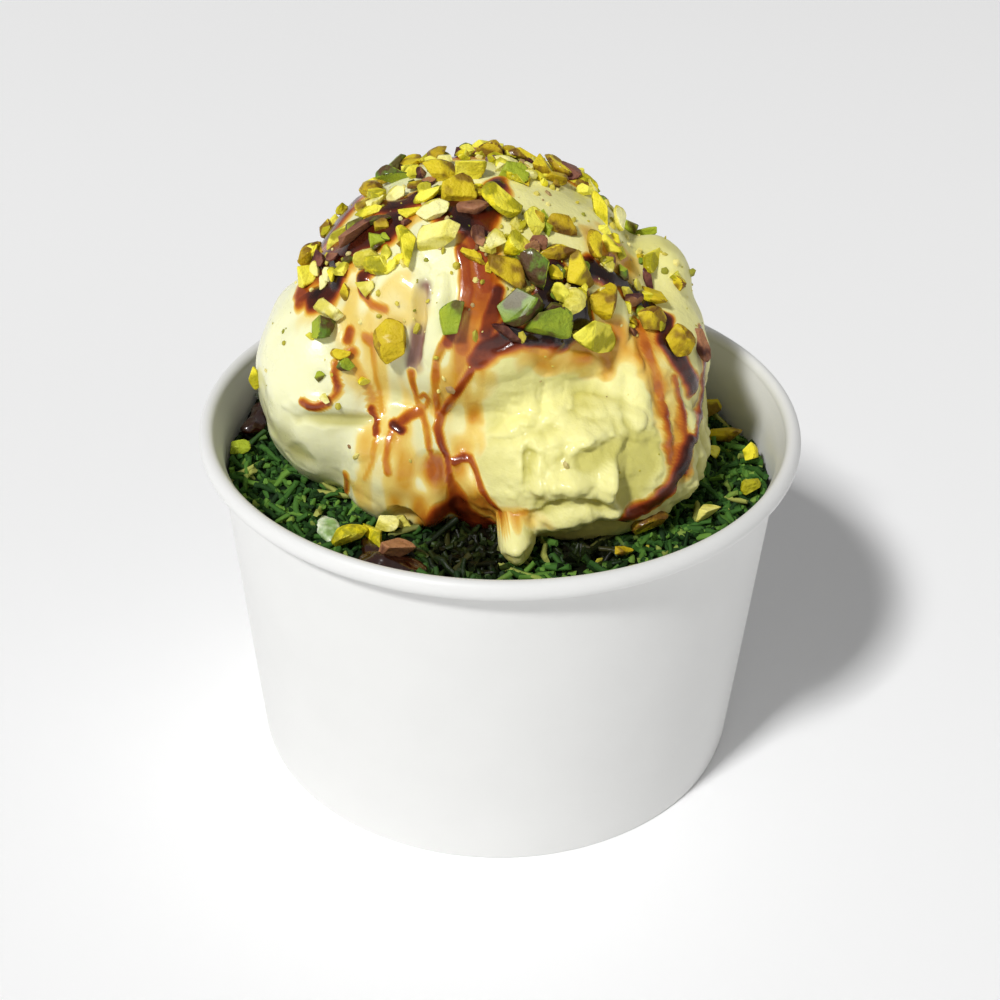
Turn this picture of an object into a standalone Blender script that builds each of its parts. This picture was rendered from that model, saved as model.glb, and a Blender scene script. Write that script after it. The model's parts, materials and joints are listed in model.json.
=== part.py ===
"""A gelato cup: a white paper cup with a rolled rim, a bed of green shredded
pastry in it, a mound of pistachio gelato on the bed with a thick syrup drizzle,
and chopped nuts on both.

Metres, +Z up. The origin is the middle of the ring that the cup stands on, and
the front of the cup faces -Y.
"""

import itertools
import math

import bmesh
import bpy
import numpy as np

MM = 0.001
GAP = 0.35 * MM  # between neighbours that touch

# The paper cup, a stock 240 ml size: 96 mm over the rim and 59 mm high.
RIM_RADIUS = 48.0 * MM
CUP_HEIGHT = 59.0 * MM
BASE_RADIUS = 41.1 * MM
WALL_TOP_RADIUS = 45.1 * MM  # outside, just under the roll
WALL = 0.5 * MM
ROLL_WIDTH = 2.5 * MM
ROLL_HEIGHT = 3.1 * MM
FLOOR_LIFT = 5.0 * MM  # the bottom disc is set this far up inside the wall
FOOT_WIDTH = 1.3 * MM  # the wall is folded up round the disc's skirt
CUP_SIDES = 48

# The gelato. Each lobe is a centre, from the middle of the rim's plane, and three half axes.
LOBES = {
    "body": ((2, 8, -7.5), (33, 26.5, 31)),
    "crown": ((-3.5, 6.5, 17), (26.5, 24.5, 20.5)),
    "front_scoop": ((11, -5.5, -1.5), (22, 20.5, 14.5)),
    "right_flank": ((18.5, 4, 8), (14.5, 17, 14.5)),
    "left_cheek": ((-25.5, 1, 5), (13, 17.5, 18)),
    "left_apron": ((-14, -9, -2.5), (11.5, 12.5, 12.5)),
    "right_shoulder": ((23.5, 8, 20), (6, 7, 6.5)),
    "front_drip": ((2.8, -25.5, -7.4), (2.4, 4.3, 3.1)),
    "left_drip": ((-10.5, -19.5, -5), (2.4, 3.2, 4.2)),
}
LOBE_BLEND = 2.6 * MM
GELATO_MIDDLE = np.array([-1.0, 4.0, 3.0]) * MM + [0, 0, CUP_HEIGHT]
GELATO_SINK = 15.0 * MM  # its flat underside is this far below the rim
GELATO_SIDES, GELATO_RINGS = 56, 26
CRAG_DEPTH = 0.9 * MM

# The bed of shredded pastry: its core lies this far below the rim, with heaps and hollows
# of a height and a width at x, y.
BED_DEPTH = 9.8 * MM
BED_HEAPS = np.array([(-36, 20, 2.8, 15), (-38, -8, 1.6, 14), (40, 18, -2.6, 15), (3, -28, -1.8, 6)]) * MM
BED_SIDES = CUP_SIDES
SEAT_GAP = 0.8 * MM  # round the part of the gelato that is sunk in the bed
SHREDS = 48
SHRED_WIDTH = 1.1 * MM
SHRED_LENGTHS = (6 * MM, 12 * MM)

# What lies on the gelato is placed by where it is seen from the front: a picture of
# 1000 by 1000 points, 6 of them to a millimetre at the point that the eye looks at.
EYE_DISTANCE = 273 * MM
EYE_ELEVATION = math.radians(33.46)
EYE_ROLL = math.radians(-0.94)
EYE_TARGET = np.array([0.16, 0, 41.45]) * MM
PICTURE_MIDDLE = 500
PICTURE_POINT = MM / 6

# Streams of syrup: how thick and how wide each is, and the points that it runs through.
STREAMS = {
    "centre": (1.3, 3.0, [(478, 235), (484, 290), (470, 340), (448, 385), (440, 430), (446, 490)]),
    "branch": (1.2, 2.2, [(556, 300), (515, 330), (484, 352), (458, 400), (446, 440)]),
    "top_pool": (1.1, 6.0, [(600, 285), (570, 300), (545, 318)]),
    "right": (1.1, 3.2, [(628, 285), (660, 330), (688, 372), (690, 430), (668, 495)]),
    "left_pool": (1.0, 4.0, [(390, 228), (350, 256), (325, 290)]),
    "left_hook": (0.9, 1.8, [(348, 330), (345, 372), (340, 398), (315, 404)]),
}

# Chopped nuts: the middle and the half width and height of each patch in the picture,
# and how many lie in it. More lie behind the gelato's crown, out of sight.
NUT_LENGTHS = (4.0 * MM, 7.0 * MM)
NUT_WIDTH_SHARES = (0.5, 0.8)  # of its length
NUT_HEIGHT_SHARE = 0.8  # of its width
NUT_CORNERS = 10
NUT_SPACING = 0.62  # of their mean length, between two nuts
GELATO_PATCHES = {
    "crown": ((488, 180), (112, 26), 20),
    "left_slope": ((362, 252), (58, 52), 13),
    "middle": ((545, 272), (78, 62), 20),
    "right_slope": ((645, 305), (40, 52), 7),
    "left_cheek": ((330, 330), (26, 34), 3),
    "in_the_syrup": ((425, 325), (36, 28), 2),
}
BACK_NUTS = 14
BED_PATCHES = {
    "front_left": ((380, 548), (34, 14), 5),
    "front_right": ((636, 546), (26, 12), 2),
    "right": ((728, 478), (32, 40), 8),
    "left": ((243, 458), (8, 8), 1),
}

# The thick brown sauce that has run down behind the gelato at the left.
SAUCE_TURN = math.radians(154)
SAUCE_RADIUS = 39.6 * MM
SAUCE_HALF_WIDTH, SAUCE_HALF_LENGTH = 3.2 * MM, 8.5 * MM
SAUCE_HEIGHT = 2.6 * MM
SAUCE_LIFT = 0.7 * MM  # over the uneven shreds
SAUCE_SIDES = 20


def clear_scene():
    for obj in list(bpy.data.objects):
        bpy.data.objects.remove(obj, do_unlink=True)


def material(name, colour, roughness):
    made = bpy.data.materials.new(name)
    made.use_nodes = True
    shader = made.node_tree.nodes["Principled BSDF"]
    shader.inputs["Base Color"].default_value = (*colour, 1)
    shader.inputs["Roughness"].default_value = roughness
    shader.inputs["Metallic"].default_value = 0
    return made


def add_object(name, mesh, look):
    obj = bpy.data.objects.new(name, mesh)
    bpy.context.scene.collection.objects.link(obj)
    if look:
        mesh.materials.append(look)
    return obj


def mesh_of(name, points, faces):
    mesh = bpy.data.meshes.new(name)
    mesh.from_pydata([tuple(p) for p in points], [], faces)
    mesh.validate()
    return mesh


def ringed_mesh(name, first_pole, rings, last_pole):
    """A closed mesh from a pole, through rings of points that turn the same way, to a pole."""
    count = rings.shape[1]
    points = np.vstack([[first_pole], rings.reshape(-1, 3), [last_pole]])
    last = len(points) - 1
    faces = []
    for i in range(count):
        j = (i + 1) % count
        faces.append((0, 1 + j, 1 + i))
        for ring in range(len(rings) - 1):
            low = 1 + ring * count
            high = low + count
            faces.append((low + i, low + j, high + j, high + i))
        faces.append((last - count + i, last - count + j, last))
    mesh = mesh_of(name, points, faces)
    point_outwards(mesh)
    return mesh


def point_outwards(mesh):
    bm = bmesh.new()
    bm.from_mesh(mesh)
    bmesh.ops.recalc_face_normals(bm, faces=bm.faces)
    bm.to_mesh(mesh)
    bm.free()


def soft_noise(points, wavelength, seed):
    """Smooth noise from -1 to 1 at each point, with bumps about a wavelength apart."""
    size = 16
    table = np.random.default_rng(seed).uniform(-1, 1, (size, size, size))
    scaled = np.asarray(points) / wavelength
    cell = np.floor(scaled).astype(int)
    part = scaled - cell
    part = part * part * (3 - 2 * part)
    total = np.zeros(len(scaled))
    for corner in itertools.product((0, 1), repeat=3):
        i, j, k = ((cell + corner) % size).T
        weight = np.prod(np.where(np.array(corner) == 1, part, 1 - part), axis=1)
        total += weight * table[i, j, k]
    return total


def smooth_least(a, b, blend):
    """The lesser of two distances, with the corner between them rounded."""
    mix = np.clip(0.5 + 0.5 * (b - a) / blend, 0, 1)
    return b + (a - b) * mix - blend * mix * (1 - mix)


def gelato_distance(points):
    """How far each point is outside the gelato, less than nothing inside."""
    found = None
    for centre, half in LOBES.values():
        half = np.array(half) * MM
        offset = points - (np.array(centre) * MM + [0, 0, CUP_HEIGHT])
        reach = np.linalg.norm(offset / half, axis=1)
        slope = np.linalg.norm(offset / half**2, axis=1)
        far = reach * (reach - 1) / np.maximum(slope, 1e-9)
        found = far if found is None else smooth_least(found, far, LOBE_BLEND)
    below = (CUP_HEIGHT - GELATO_SINK) - points[:, 2]
    return -smooth_least(-found, -below, 1.0 * MM)


def march(starts, directions, steps=70, share=0.8):
    """Moves each start along its direction until it meets the gelato, or goes past it."""
    along = np.zeros(len(starts))
    for _ in range(steps):
        along += share * gelato_distance(starts + directions * along[:, None])
    return starts + directions * along[:, None]


def eye_frame():
    """The eye's place, and the directions in which it looks and has its right and top."""
    forward = np.array([0, math.cos(EYE_ELEVATION), -math.sin(EYE_ELEVATION)])
    right = np.array([1.0, 0, 0])
    top = np.cross(right, forward)
    turn_cos, turn_sin = math.cos(EYE_ROLL), math.sin(EYE_ROLL)
    rolled_right = turn_cos * right - turn_sin * top
    rolled_top = turn_sin * right + turn_cos * top
    return EYE_TARGET - EYE_DISTANCE * forward, forward, rolled_right, rolled_top


def sight_lines(picture_points):
    """The eye's place and the direction through each point of the picture."""
    eye, _, right, top = eye_frame()
    offset = (np.asarray(picture_points, float) - PICTURE_MIDDLE) * PICTURE_POINT
    aims = EYE_TARGET + offset[:, :1] * right - offset[:, 1:] * top
    lines = aims - eye
    return np.tile(eye, (len(lines), 1)), lines / np.linalg.norm(lines, axis=1)[:, None]


def seen_on_gelato(picture_points):
    """Where the points of the picture meet the gelato, or pass it most closely."""
    eyes, lines = sight_lines(picture_points)
    places = eyes + lines * (EYE_DISTANCE - 80 * MM)
    closest, least = places.copy(), gelato_distance(places)
    for _ in range(90):
        away = gelato_distance(places)
        nearer = away < least
        closest[nearer], least[nearer] = places[nearer], away[nearer]
        places = places + lines * np.maximum(away * 0.8, 0.02 * MM)[:, None] * (away > 0.02 * MM)[:, None]
    return closest


def seen_on_bed(picture_points):
    """Where each point of the picture meets the top of the bed."""
    eyes, lines = sight_lines(picture_points)
    places = eyes
    for _ in range(3):
        drop = bed_height(places[:, :2]) - eyes[:, 2]
        places = eyes + lines * (drop / lines[:, 2])[:, None]
    return places


def stream_paths():
    """Each stream's thickness, width and finely spaced points on the gelato."""
    for thickness, width, picture_points in STREAMS.values():
        knots = np.array(picture_points, float)
        steps = np.linspace(0, len(knots) - 1, 12 * len(knots))
        fine = np.stack([np.interp(steps, range(len(knots)), knots[:, k]) for k in (0, 1)], 1)
        yield thickness * MM, width * MM, seen_on_gelato(fine)


def syrup_thickness(points):
    """How thick the syrup lies at each point of the gelato."""
    thickest = np.zeros(len(points))
    for thickness, width, path in stream_paths():
        nearest = np.full(len(points), 1.0)
        for place in path:
            nearest = np.minimum(nearest, np.linalg.norm(points - place, axis=1))
        profile = np.clip(1 - (nearest / width) ** 2, 0, 1)
        thickest = np.maximum(thickest, thickness * np.sqrt(profile))
    return thickest


def crags(points):
    """The torn relief that a scoop leaves: deep on the front scoop, faint where it melts."""
    drawn = points * [0.6, 1, 1.5]
    rough = 0.6 * soft_noise(drawn, 7 * MM, 3) + 0.4 * soft_noise(drawn, 3.6 * MM, 4)
    across = points[:, 0] / (12 * MM)
    share = 0.35 + 0.65 / (1 + np.exp(-2.5 * across))
    return CRAG_DEPTH * share * rough


def gelato_core():
    """The mound as rings of points round its middle, from the top down."""
    tilt = np.linspace(0, math.pi, GELATO_RINGS + 2)[1:-1]
    turn = np.linspace(0, 2 * math.pi, GELATO_SIDES, endpoint=False)
    tilt, turn = np.meshgrid(tilt, turn, indexing="ij")
    outward = np.stack([np.sin(tilt) * np.cos(turn), np.sin(tilt) * np.sin(turn), np.cos(tilt)], -1)
    outward = np.vstack([outward.reshape(-1, 3), [(0, 0, 1)], [(0, 0, -1)]])
    far = 60 * MM
    surface = march(GELATO_MIDDLE + outward * far, -outward)
    height = surface[:, 2] - (CUP_HEIGHT - BED_DEPTH)
    shown = np.clip(height / (3 * MM), 0, 1)
    lift = (crags(surface) + syrup_thickness(surface)) * shown
    surface = surface + outward * lift[:, None]
    rings = surface[:-2].reshape(GELATO_RINGS, GELATO_SIDES, 3)
    return ringed_mesh("gelato", surface[-2], rings, surface[-1])


def patch_places(patches, land, fits, draw):
    """The place and length of each nut of the patches, the longest of a patch first."""
    kept = []
    for middle, half, count in patches.values():
        spots = np.array(middle) + draw.uniform(-1, 1, (40 * count, 2)) * half
        lengths = iter(sorted(draw.uniform(*NUT_LENGTHS, count), reverse=True))
        length = next(lengths)
        for place in land(spots):
            if length and fits(place, length) and apart(place, length, kept):
                kept.append((place, length))
                length = next(lengths, None)
    return kept


def apart(place, length, kept):
    """Whether a nut here is clear enough of those that are kept."""
    return all(np.linalg.norm(place - other) > NUT_SPACING * (length + size) / 2 for other, size in kept)


def behind_crown(draw):
    """The place and length of each nut that the picture doesn't show."""
    turn = np.linspace(0.15, math.pi - 0.15, BACK_NUTS)
    tilt = draw.uniform(0.3, 1.0, BACK_NUTS)
    outward = np.stack([np.cos(turn) * np.sin(tilt), np.sin(turn) * np.sin(tilt), np.cos(tilt)], 1)
    places = march(GELATO_MIDDLE + outward * 60 * MM, -outward)
    return list(zip(places, draw.uniform(*NUT_LENGTHS, BACK_NUTS)))


def on_gelato(place, length):
    return abs(gelato_distance(place[None])[0]) < 0.3 * MM and place[2] > CUP_HEIGHT


def outward_of(places):
    """The gelato's outward direction at each place."""
    steps = 0.4 * MM * np.eye(3)
    slopes = np.stack([gelato_distance(places + s) - gelato_distance(places - s) for s in steps], 1)
    return slopes / np.linalg.norm(slopes, axis=1)[:, None]


def nut_mesh(name, place, normal, length, draw):
    """A chopped nut: a blunt chip of flat cuts, lying on the surface with its length along it."""
    along = np.cross(normal, draw.normal(size=3))
    along /= np.linalg.norm(along)
    width = length * draw.uniform(*NUT_WIDTH_SHARES)
    half = np.array([length, width, width * NUT_HEIGHT_SHARE]) / 2 * 1.1
    spread = draw.normal(size=(NUT_CORNERS, 3))
    spread /= np.linalg.norm(spread, axis=1)[:, None]
    axes = np.stack([along, np.cross(normal, along), normal])
    points = (spread * half) @ axes + place + normal * half[2] * 0.35
    bm = bmesh.new()
    for p in points:
        bm.verts.new(p)
    bmesh.ops.convex_hull(bm, input=bm.verts)
    bmesh.ops.delete(bm, geom=[v for v in bm.verts if not v.link_faces], context="VERTS")
    bmesh.ops.recalc_face_normals(bm, faces=bm.faces)
    mesh = bpy.data.meshes.new(name)
    bm.to_mesh(mesh)
    bm.free()
    return mesh


def fused(core, extras, name, look, solver="MANIFOLD"):
    """One object made of the core mesh and all that is joined on to it."""
    body = add_object(name, core, look)
    holder = bpy.data.collections.new(name + "_pieces")
    bpy.context.scene.collection.children.link(holder)
    for mesh in extras:
        holder.objects.link(bpy.data.objects.new(mesh.name, mesh))
    union = body.modifiers.new("pieces", "BOOLEAN")
    union.operation = "UNION"
    union.operand_type = "COLLECTION"
    union.collection = holder
    union.solver = solver
    graph = bpy.context.evaluated_depsgraph_get()
    joined = bpy.data.meshes.new_from_object(body.evaluated_get(graph))
    body.modifiers.clear()
    body.data = largest_piece(joined)
    for obj in list(holder.objects):
        bpy.data.objects.remove(obj, do_unlink=True)
    bpy.data.collections.remove(holder)
    return body


def largest_piece(mesh):
    """The mesh without loose scraps and without the walls of sealed hollows."""
    bm = bmesh.new()
    bm.from_mesh(mesh)
    left = set(bm.verts)
    islands = []
    while left:
        island, edge = set(), [left.pop()]
        while edge:
            vert = edge.pop()
            island.add(vert)
            for link in vert.link_edges:
                other = link.other_vert(vert)
                if other in left:
                    left.discard(other)
                    edge.append(other)
        islands.append(island)
    islands.sort(key=len)
    for island in islands[:-1]:
        bmesh.ops.delete(bm, geom=list(island), context="VERTS")
    bm.to_mesh(mesh)
    bm.free()
    return mesh


def cup_outer_radius(height):
    return BASE_RADIUS + (WALL_TOP_RADIUS - BASE_RADIUS) * height / (CUP_HEIGHT - ROLL_HEIGHT)


def cup_inner_radius(height):
    return cup_outer_radius(height) - WALL


def roll_arc(start, end, count):
    """Points on the rolled rim's oval section, from one angle to another in degrees."""
    for angle in np.radians(np.linspace(start, end, count)):
        yield (
            RIM_RADIUS - ROLL_WIDTH / 2 * (1 - math.cos(angle)),
            CUP_HEIGHT - ROLL_HEIGHT / 2 * (1 - math.sin(angle)),
        )


def cup_profile():
    """The cup's section, from the middle of its floor over the rim to the middle beneath."""
    floor_top = FLOOR_LIFT + WALL
    roll_root = CUP_HEIGHT - ROLL_HEIGHT
    foot_inner = BASE_RADIUS - FOOT_WIDTH
    return [
        (0, floor_top),
        (cup_inner_radius(floor_top), floor_top),
        (cup_inner_radius(CUP_HEIGHT / 2), CUP_HEIGHT / 2),
        (cup_inner_radius(roll_root), roll_root),
        *roll_arc(180, -115, 11),
        (cup_outer_radius(roll_root) + 0.1 * MM, roll_root + 0.3 * MM),
        (cup_outer_radius(roll_root - 0.4 * MM), roll_root - 0.4 * MM),
        (cup_outer_radius(0.3 * MM), 0.3 * MM),
        (BASE_RADIUS - 0.2 * MM, 0),
        (foot_inner, 0),
        (foot_inner, FLOOR_LIFT),
        (0, FLOOR_LIFT),
    ]


def paper_cup(look):
    bm = bmesh.new()
    verts = [bm.verts.new((r, 0, z)) for r, z in cup_profile()]
    edges = [bm.edges.new(pair) for pair in itertools.pairwise(verts)]
    turn = {"cent": (0, 0, 0), "axis": (0, 0, 1), "angle": 2 * math.pi}
    bmesh.ops.spin(bm, geom=verts + edges, steps=CUP_SIDES, use_merge=True, **turn)
    bmesh.ops.remove_doubles(bm, verts=bm.verts, dist=1e-6)
    bmesh.ops.recalc_face_normals(bm, faces=bm.faces)
    mesh = bpy.data.meshes.new("paper_cup")
    bm.to_mesh(mesh)
    bm.free()
    mesh.shade_smooth()
    mesh.set_sharp_from_angle(angle=math.radians(40))
    return add_object("paper_cup", mesh, look)


def bed_height(places):
    """The height of the bed's core at each x, y."""
    height = np.full(len(places), CUP_HEIGHT - BED_DEPTH)
    for x, y, rise, width in BED_HEAPS:
        away = np.hypot(places[:, 0] - x, places[:, 1] - y)
        height += rise * np.exp(-((away / width) ** 2))
    flat = np.column_stack([places, np.zeros(len(places))])
    return height + 0.5 * MM * soft_noise(flat, 6 * MM, 8)


def gelato_edge(turns, heights):
    """The gelato's edge in each direction from its middle, at a height for each, widened by a gap."""
    outward = np.stack([np.cos(turns), np.sin(turns), np.zeros_like(turns)], 1)
    middle = np.column_stack([np.tile(GELATO_MIDDLE[:2], (len(turns), 1)), heights])
    edge = march(middle + outward * 50 * MM, -outward)
    return edge[:, :2] + outward[:, :2] * SEAT_GAP


def bed_core():
    """The bed up to the cup's wall, with a seat for the gelato in it."""
    turns = np.linspace(0, 2 * math.pi, BED_SIDES, endpoint=False)
    away = np.stack([np.cos(turns), np.sin(turns)], 1)
    bottom = FLOOR_LIFT + WALL + GAP
    wall_top = bed_height(away * (cup_inner_radius(CUP_HEIGHT - BED_DEPTH) - GAP))
    rings = []
    for share in (0, 0.5, 1):
        height = bottom + (wall_top - bottom) * share
        radius = cup_inner_radius(height) - GAP
        rings.append(np.column_stack([away * radius[:, None], height]))
    rim = rings[-1][:, :2]
    seat_bottom = CUP_HEIGHT - GELATO_SINK - GAP
    mouth = gelato_edge(turns, np.full(BED_SIDES, CUP_HEIGHT - BED_DEPTH))
    for _ in range(2):
        mouth = gelato_edge(turns, bed_height(mouth) + 0.5 * MM)
    for share in (0.12, 0.34, 0.56, 0.78, 1):
        flat = rim + (mouth - rim) * share
        rings.append(np.column_stack([flat, bed_height(flat)]))
    drop = bed_height(mouth) - seat_bottom
    for share in (0.66, 0.33, 0.12):
        height = seat_bottom + drop * share
        rings.append(np.column_stack([gelato_edge(turns, height + 0.3 * MM), height]))
    rings.append(np.column_stack([gelato_edge(turns, np.full(BED_SIDES, CUP_HEIGHT - GELATO_SINK + 0.6 * MM)),
                                  np.full(BED_SIDES, seat_bottom)]))
    low_pole = (0, 0, bottom)
    high_pole = (*GELATO_MIDDLE[:2], seat_bottom)
    return ringed_mesh("kataifi_bed", low_pole, np.array(rings), high_pole)


def shred_path(draw):
    """Four points along a bent shred that lies on the bed, one end sunk in it."""
    turn, heading = draw.uniform(0, 2 * math.pi, 2)
    radius = (WALL_TOP_RADIUS - 2 * MM) * math.sqrt(draw.uniform(0.3, 1))
    length = draw.uniform(*SHRED_LENGTHS)
    start = np.array([radius * math.cos(turn), radius * math.sin(turn)])
    bend = draw.uniform(-0.5, 0.5)
    lift = draw.uniform(-0.2, 0.45)
    points = []
    for share in np.linspace(-0.5, 0.5, 4):
        angle = heading + bend * share
        flat = start + length * share * np.array([math.cos(angle), math.sin(angle)])
        height = bed_height(flat[None])[0] + 0.15 * MM + lift * length * (share + 0.1)
        points.append((*flat, height))
    return np.array(points)


def clear_of_neighbours(points, slack):
    """Whether these points are inside the cup's wall, clear of the sauce and of the gelato."""
    radius = np.hypot(points[:, 0], points[:, 1])
    in_cup = (radius < cup_inner_radius(points[:, 2]) - slack - 0.3 * MM).all()
    off_gelato = (gelato_distance(points) > slack + CRAG_DEPTH).all()
    off_sauce = (np.linalg.norm(points[:, :2] - sauce_circle()[0], axis=1) > SAUCE_HALF_LENGTH + slack).all()
    return in_cup and off_gelato and off_sauce


def shred_mesh(name, path, draw):
    """A four-sided bar along the path, narrower at its ends."""
    rings = []
    for k, point in enumerate(path):
        along = path[min(k + 1, len(path) - 1)] - path[max(k - 1, 0)]
        along = along / np.linalg.norm(along)
        side = np.cross(along, (0, 0, 1))
        side = side / np.linalg.norm(side)
        top = np.cross(side, along)
        half = SHRED_WIDTH / 2 * (0.75 if k in (0, len(path) - 1) else 1) * draw.uniform(0.85, 1.15)
        rings.append([point + half * (a * side + b * top) for a, b in ((1, 0), (0, 1), (-1, 0), (0, -1))])
    points = [p for ring in rings for p in ring]
    last = len(points) - 4
    faces = [(0, 1, 2, 3), (last, last + 1, last + 2, last + 3)]
    for k, i in itertools.product(range(len(rings) - 1), range(4)):
        j = (i + 1) % 4
        faces.append((4 * k + i, 4 * k + j, 4 * k + 4 + j, 4 * k + 4 + i))
    mesh = mesh_of(name, points, faces)
    point_outwards(mesh)
    return mesh


def shreds():
    draw = np.random.default_rng(5)
    made = []
    for _ in range(40 * SHREDS):
        path = shred_path(draw)
        if clear_of_neighbours(path, SHRED_WIDTH):
            made.append(shred_mesh(f"shred_{len(made)}", path, draw))
        if len(made) == SHREDS:
            break
    return made


def room_on_bed(place, length):
    """Whether a nut fits here between the cup's wall and the gelato."""
    reach = length / 2 + 0.7 * MM
    in_cup = np.hypot(*place[:2]) + reach < cup_inner_radius(place[2])
    return in_cup and gelato_distance(place[None])[0] > reach + CRAG_DEPTH


def bed_nuts():
    draw = np.random.default_rng(21)
    places = patch_places(BED_PATCHES, seen_on_bed, room_on_bed, draw)
    up = np.array([0, 0, 1.0])
    return [nut_mesh(f"bed_nut_{k}", place, up, length, draw) for k, (place, length) in enumerate(places)]


def kataifi_bed(look):
    return fused(bed_core(), shreds() + bed_nuts(), "kataifi_bed", look)


def gelato_mound(look):
    draw = np.random.default_rng(31)
    places = patch_places(GELATO_PATCHES, seen_on_gelato, on_gelato, draw) + behind_crown(draw)
    normals = outward_of(np.array([place for place, _ in places]))
    nuts = [
        nut_mesh(f"nut_{k}", place, normal, length, draw)
        for k, ((place, length), normal) in enumerate(zip(places, normals))
    ]
    return fused(gelato_core(), nuts, "gelato_mound", look)


def sauce_circle():
    """The pool's middle, and its outline turned to lie along the cup's wall."""
    outward = np.array([math.cos(SAUCE_TURN), math.sin(SAUCE_TURN)])
    sideways = np.array([-outward[1], outward[0]])
    turns = np.linspace(0, 2 * math.pi, SAUCE_SIDES, endpoint=False)
    across = SAUCE_HALF_WIDTH * np.cos(turns)[:, None] * outward
    return SAUCE_RADIUS * outward, across + SAUCE_HALF_LENGTH * np.sin(turns)[:, None] * sideways


def sauce_pool(look):
    """A lens of thick sauce on the bed, between the gelato and the cup's wall."""
    middle, outline = sauce_circle()
    rings = []
    for share, rise in ((0.96, 0.0), (1.0, 0.35), (0.86, 0.72), (0.5, 0.95)):
        flat = middle + outline * share
        rings.append(np.column_stack([flat, bed_height(flat) + SAUCE_LIFT + rise * SAUCE_HEIGHT]))
    bottom = bed_height(middle[None])[0] + SAUCE_LIFT
    mesh = ringed_mesh("sauce_pool", (*middle, bottom), np.array(rings), (*middle, bottom + SAUCE_HEIGHT))
    return add_object("sauce_pool", mesh, look)


def main():
    clear_scene()
    paper_cup(material("paper", (0.87, 0.87, 0.85), 0.5))
    kataifi_bed(material("kataifi", (0.03, 0.13, 0.03), 0.8))
    gelato_mound(material("gelato", (0.80, 0.78, 0.42), 0.4))
    sauce_pool(material("sauce", (0.03, 0.01, 0.006), 0.15))


main()
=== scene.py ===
# %% [markdown]
# # A gelato cup in Blender
#
# A white paper cup holds a bed of green shredded pastry. A mound of pistachio gelato sits
# on it, with syrup run down its sides and chopped nuts on top. The solid model gives every
# main shape and size. This lesson dresses it: each part of the food is rebuilt with the
# detail that the eye expects, in the same place and at the same size.
#
# Lengths are metres, +Z is up, and the front of the cup faces -Y.

import itertools
import json
import math

import bmesh
import bpy
import numpy as np
from mathutils import Matrix, Vector
from mathutils.bvhtree import BVHTree

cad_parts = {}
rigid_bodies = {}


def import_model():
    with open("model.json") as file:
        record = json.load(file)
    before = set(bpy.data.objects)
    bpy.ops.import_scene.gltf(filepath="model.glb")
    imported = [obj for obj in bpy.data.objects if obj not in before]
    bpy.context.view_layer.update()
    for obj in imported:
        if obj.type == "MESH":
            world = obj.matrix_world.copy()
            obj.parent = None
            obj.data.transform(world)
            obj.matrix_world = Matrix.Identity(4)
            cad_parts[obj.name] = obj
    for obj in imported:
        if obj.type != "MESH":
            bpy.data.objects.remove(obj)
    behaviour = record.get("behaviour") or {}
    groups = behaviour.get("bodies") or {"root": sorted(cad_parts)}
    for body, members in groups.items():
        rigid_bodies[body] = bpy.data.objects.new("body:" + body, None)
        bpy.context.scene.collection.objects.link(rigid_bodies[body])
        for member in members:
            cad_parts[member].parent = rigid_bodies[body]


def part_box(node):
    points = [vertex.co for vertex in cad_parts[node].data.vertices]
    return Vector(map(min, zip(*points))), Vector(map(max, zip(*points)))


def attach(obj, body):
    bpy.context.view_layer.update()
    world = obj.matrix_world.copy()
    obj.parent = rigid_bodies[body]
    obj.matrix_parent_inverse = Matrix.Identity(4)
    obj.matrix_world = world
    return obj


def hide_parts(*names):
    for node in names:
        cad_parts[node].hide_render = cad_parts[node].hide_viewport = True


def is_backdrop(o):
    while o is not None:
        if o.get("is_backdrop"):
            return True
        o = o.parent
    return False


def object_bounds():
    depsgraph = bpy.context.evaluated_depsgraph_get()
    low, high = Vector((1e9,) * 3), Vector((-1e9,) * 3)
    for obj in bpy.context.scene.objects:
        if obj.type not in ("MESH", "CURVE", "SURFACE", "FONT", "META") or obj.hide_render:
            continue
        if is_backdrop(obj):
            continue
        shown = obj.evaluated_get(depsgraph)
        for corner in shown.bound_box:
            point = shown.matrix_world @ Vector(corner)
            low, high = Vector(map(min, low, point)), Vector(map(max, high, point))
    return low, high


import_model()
solid_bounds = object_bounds()
print("solid model:", [[round(value, 4) for value in corner] for corner in solid_bounds])

# %% [markdown]
# ## Sizes that everything shares
#
# The cup is a stock size: 96 mm over the rim and 59 mm high. Its wall is a straight cone
# from the foot to just under the rolled rim, so one line gives its radius at any height.
# The same few sizes place the bed and the gelato, as in the solid model.

# %% Sizes of the cup
MM = 0.001
RIM_RADIUS = 48.0 * MM
CUP_HEIGHT = 59.0 * MM
BASE_RADIUS = 41.1 * MM
WALL_TOP_RADIUS = 45.1 * MM
WALL = 0.5 * MM
ROLL_WIDTH = 2.5 * MM
ROLL_HEIGHT = 3.1 * MM
FLOOR_LIFT = 5.0 * MM
FOOT_WIDTH = 1.3 * MM


def cup_outer_radius(height):
    return BASE_RADIUS + (WALL_TOP_RADIUS - BASE_RADIUS) * height / (CUP_HEIGHT - ROLL_HEIGHT)


def cup_inner_radius(height):
    return cup_outer_radius(height) - WALL


cup_low, cup_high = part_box("paper_cup")
print("cup height", round(cup_high[2] - cup_low[2], 4), "rim radius", round(cup_high[0], 4))

# %% [markdown]
# ## Noise in numpy
#
# Food is never even. Where unevenness changes the mesh itself, it is worked out in numpy:
# a table of random numbers at the corners of a grid, blended smoothly between them, gives
# bumps about one wavelength apart. A fixed seed makes every run the same.


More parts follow.
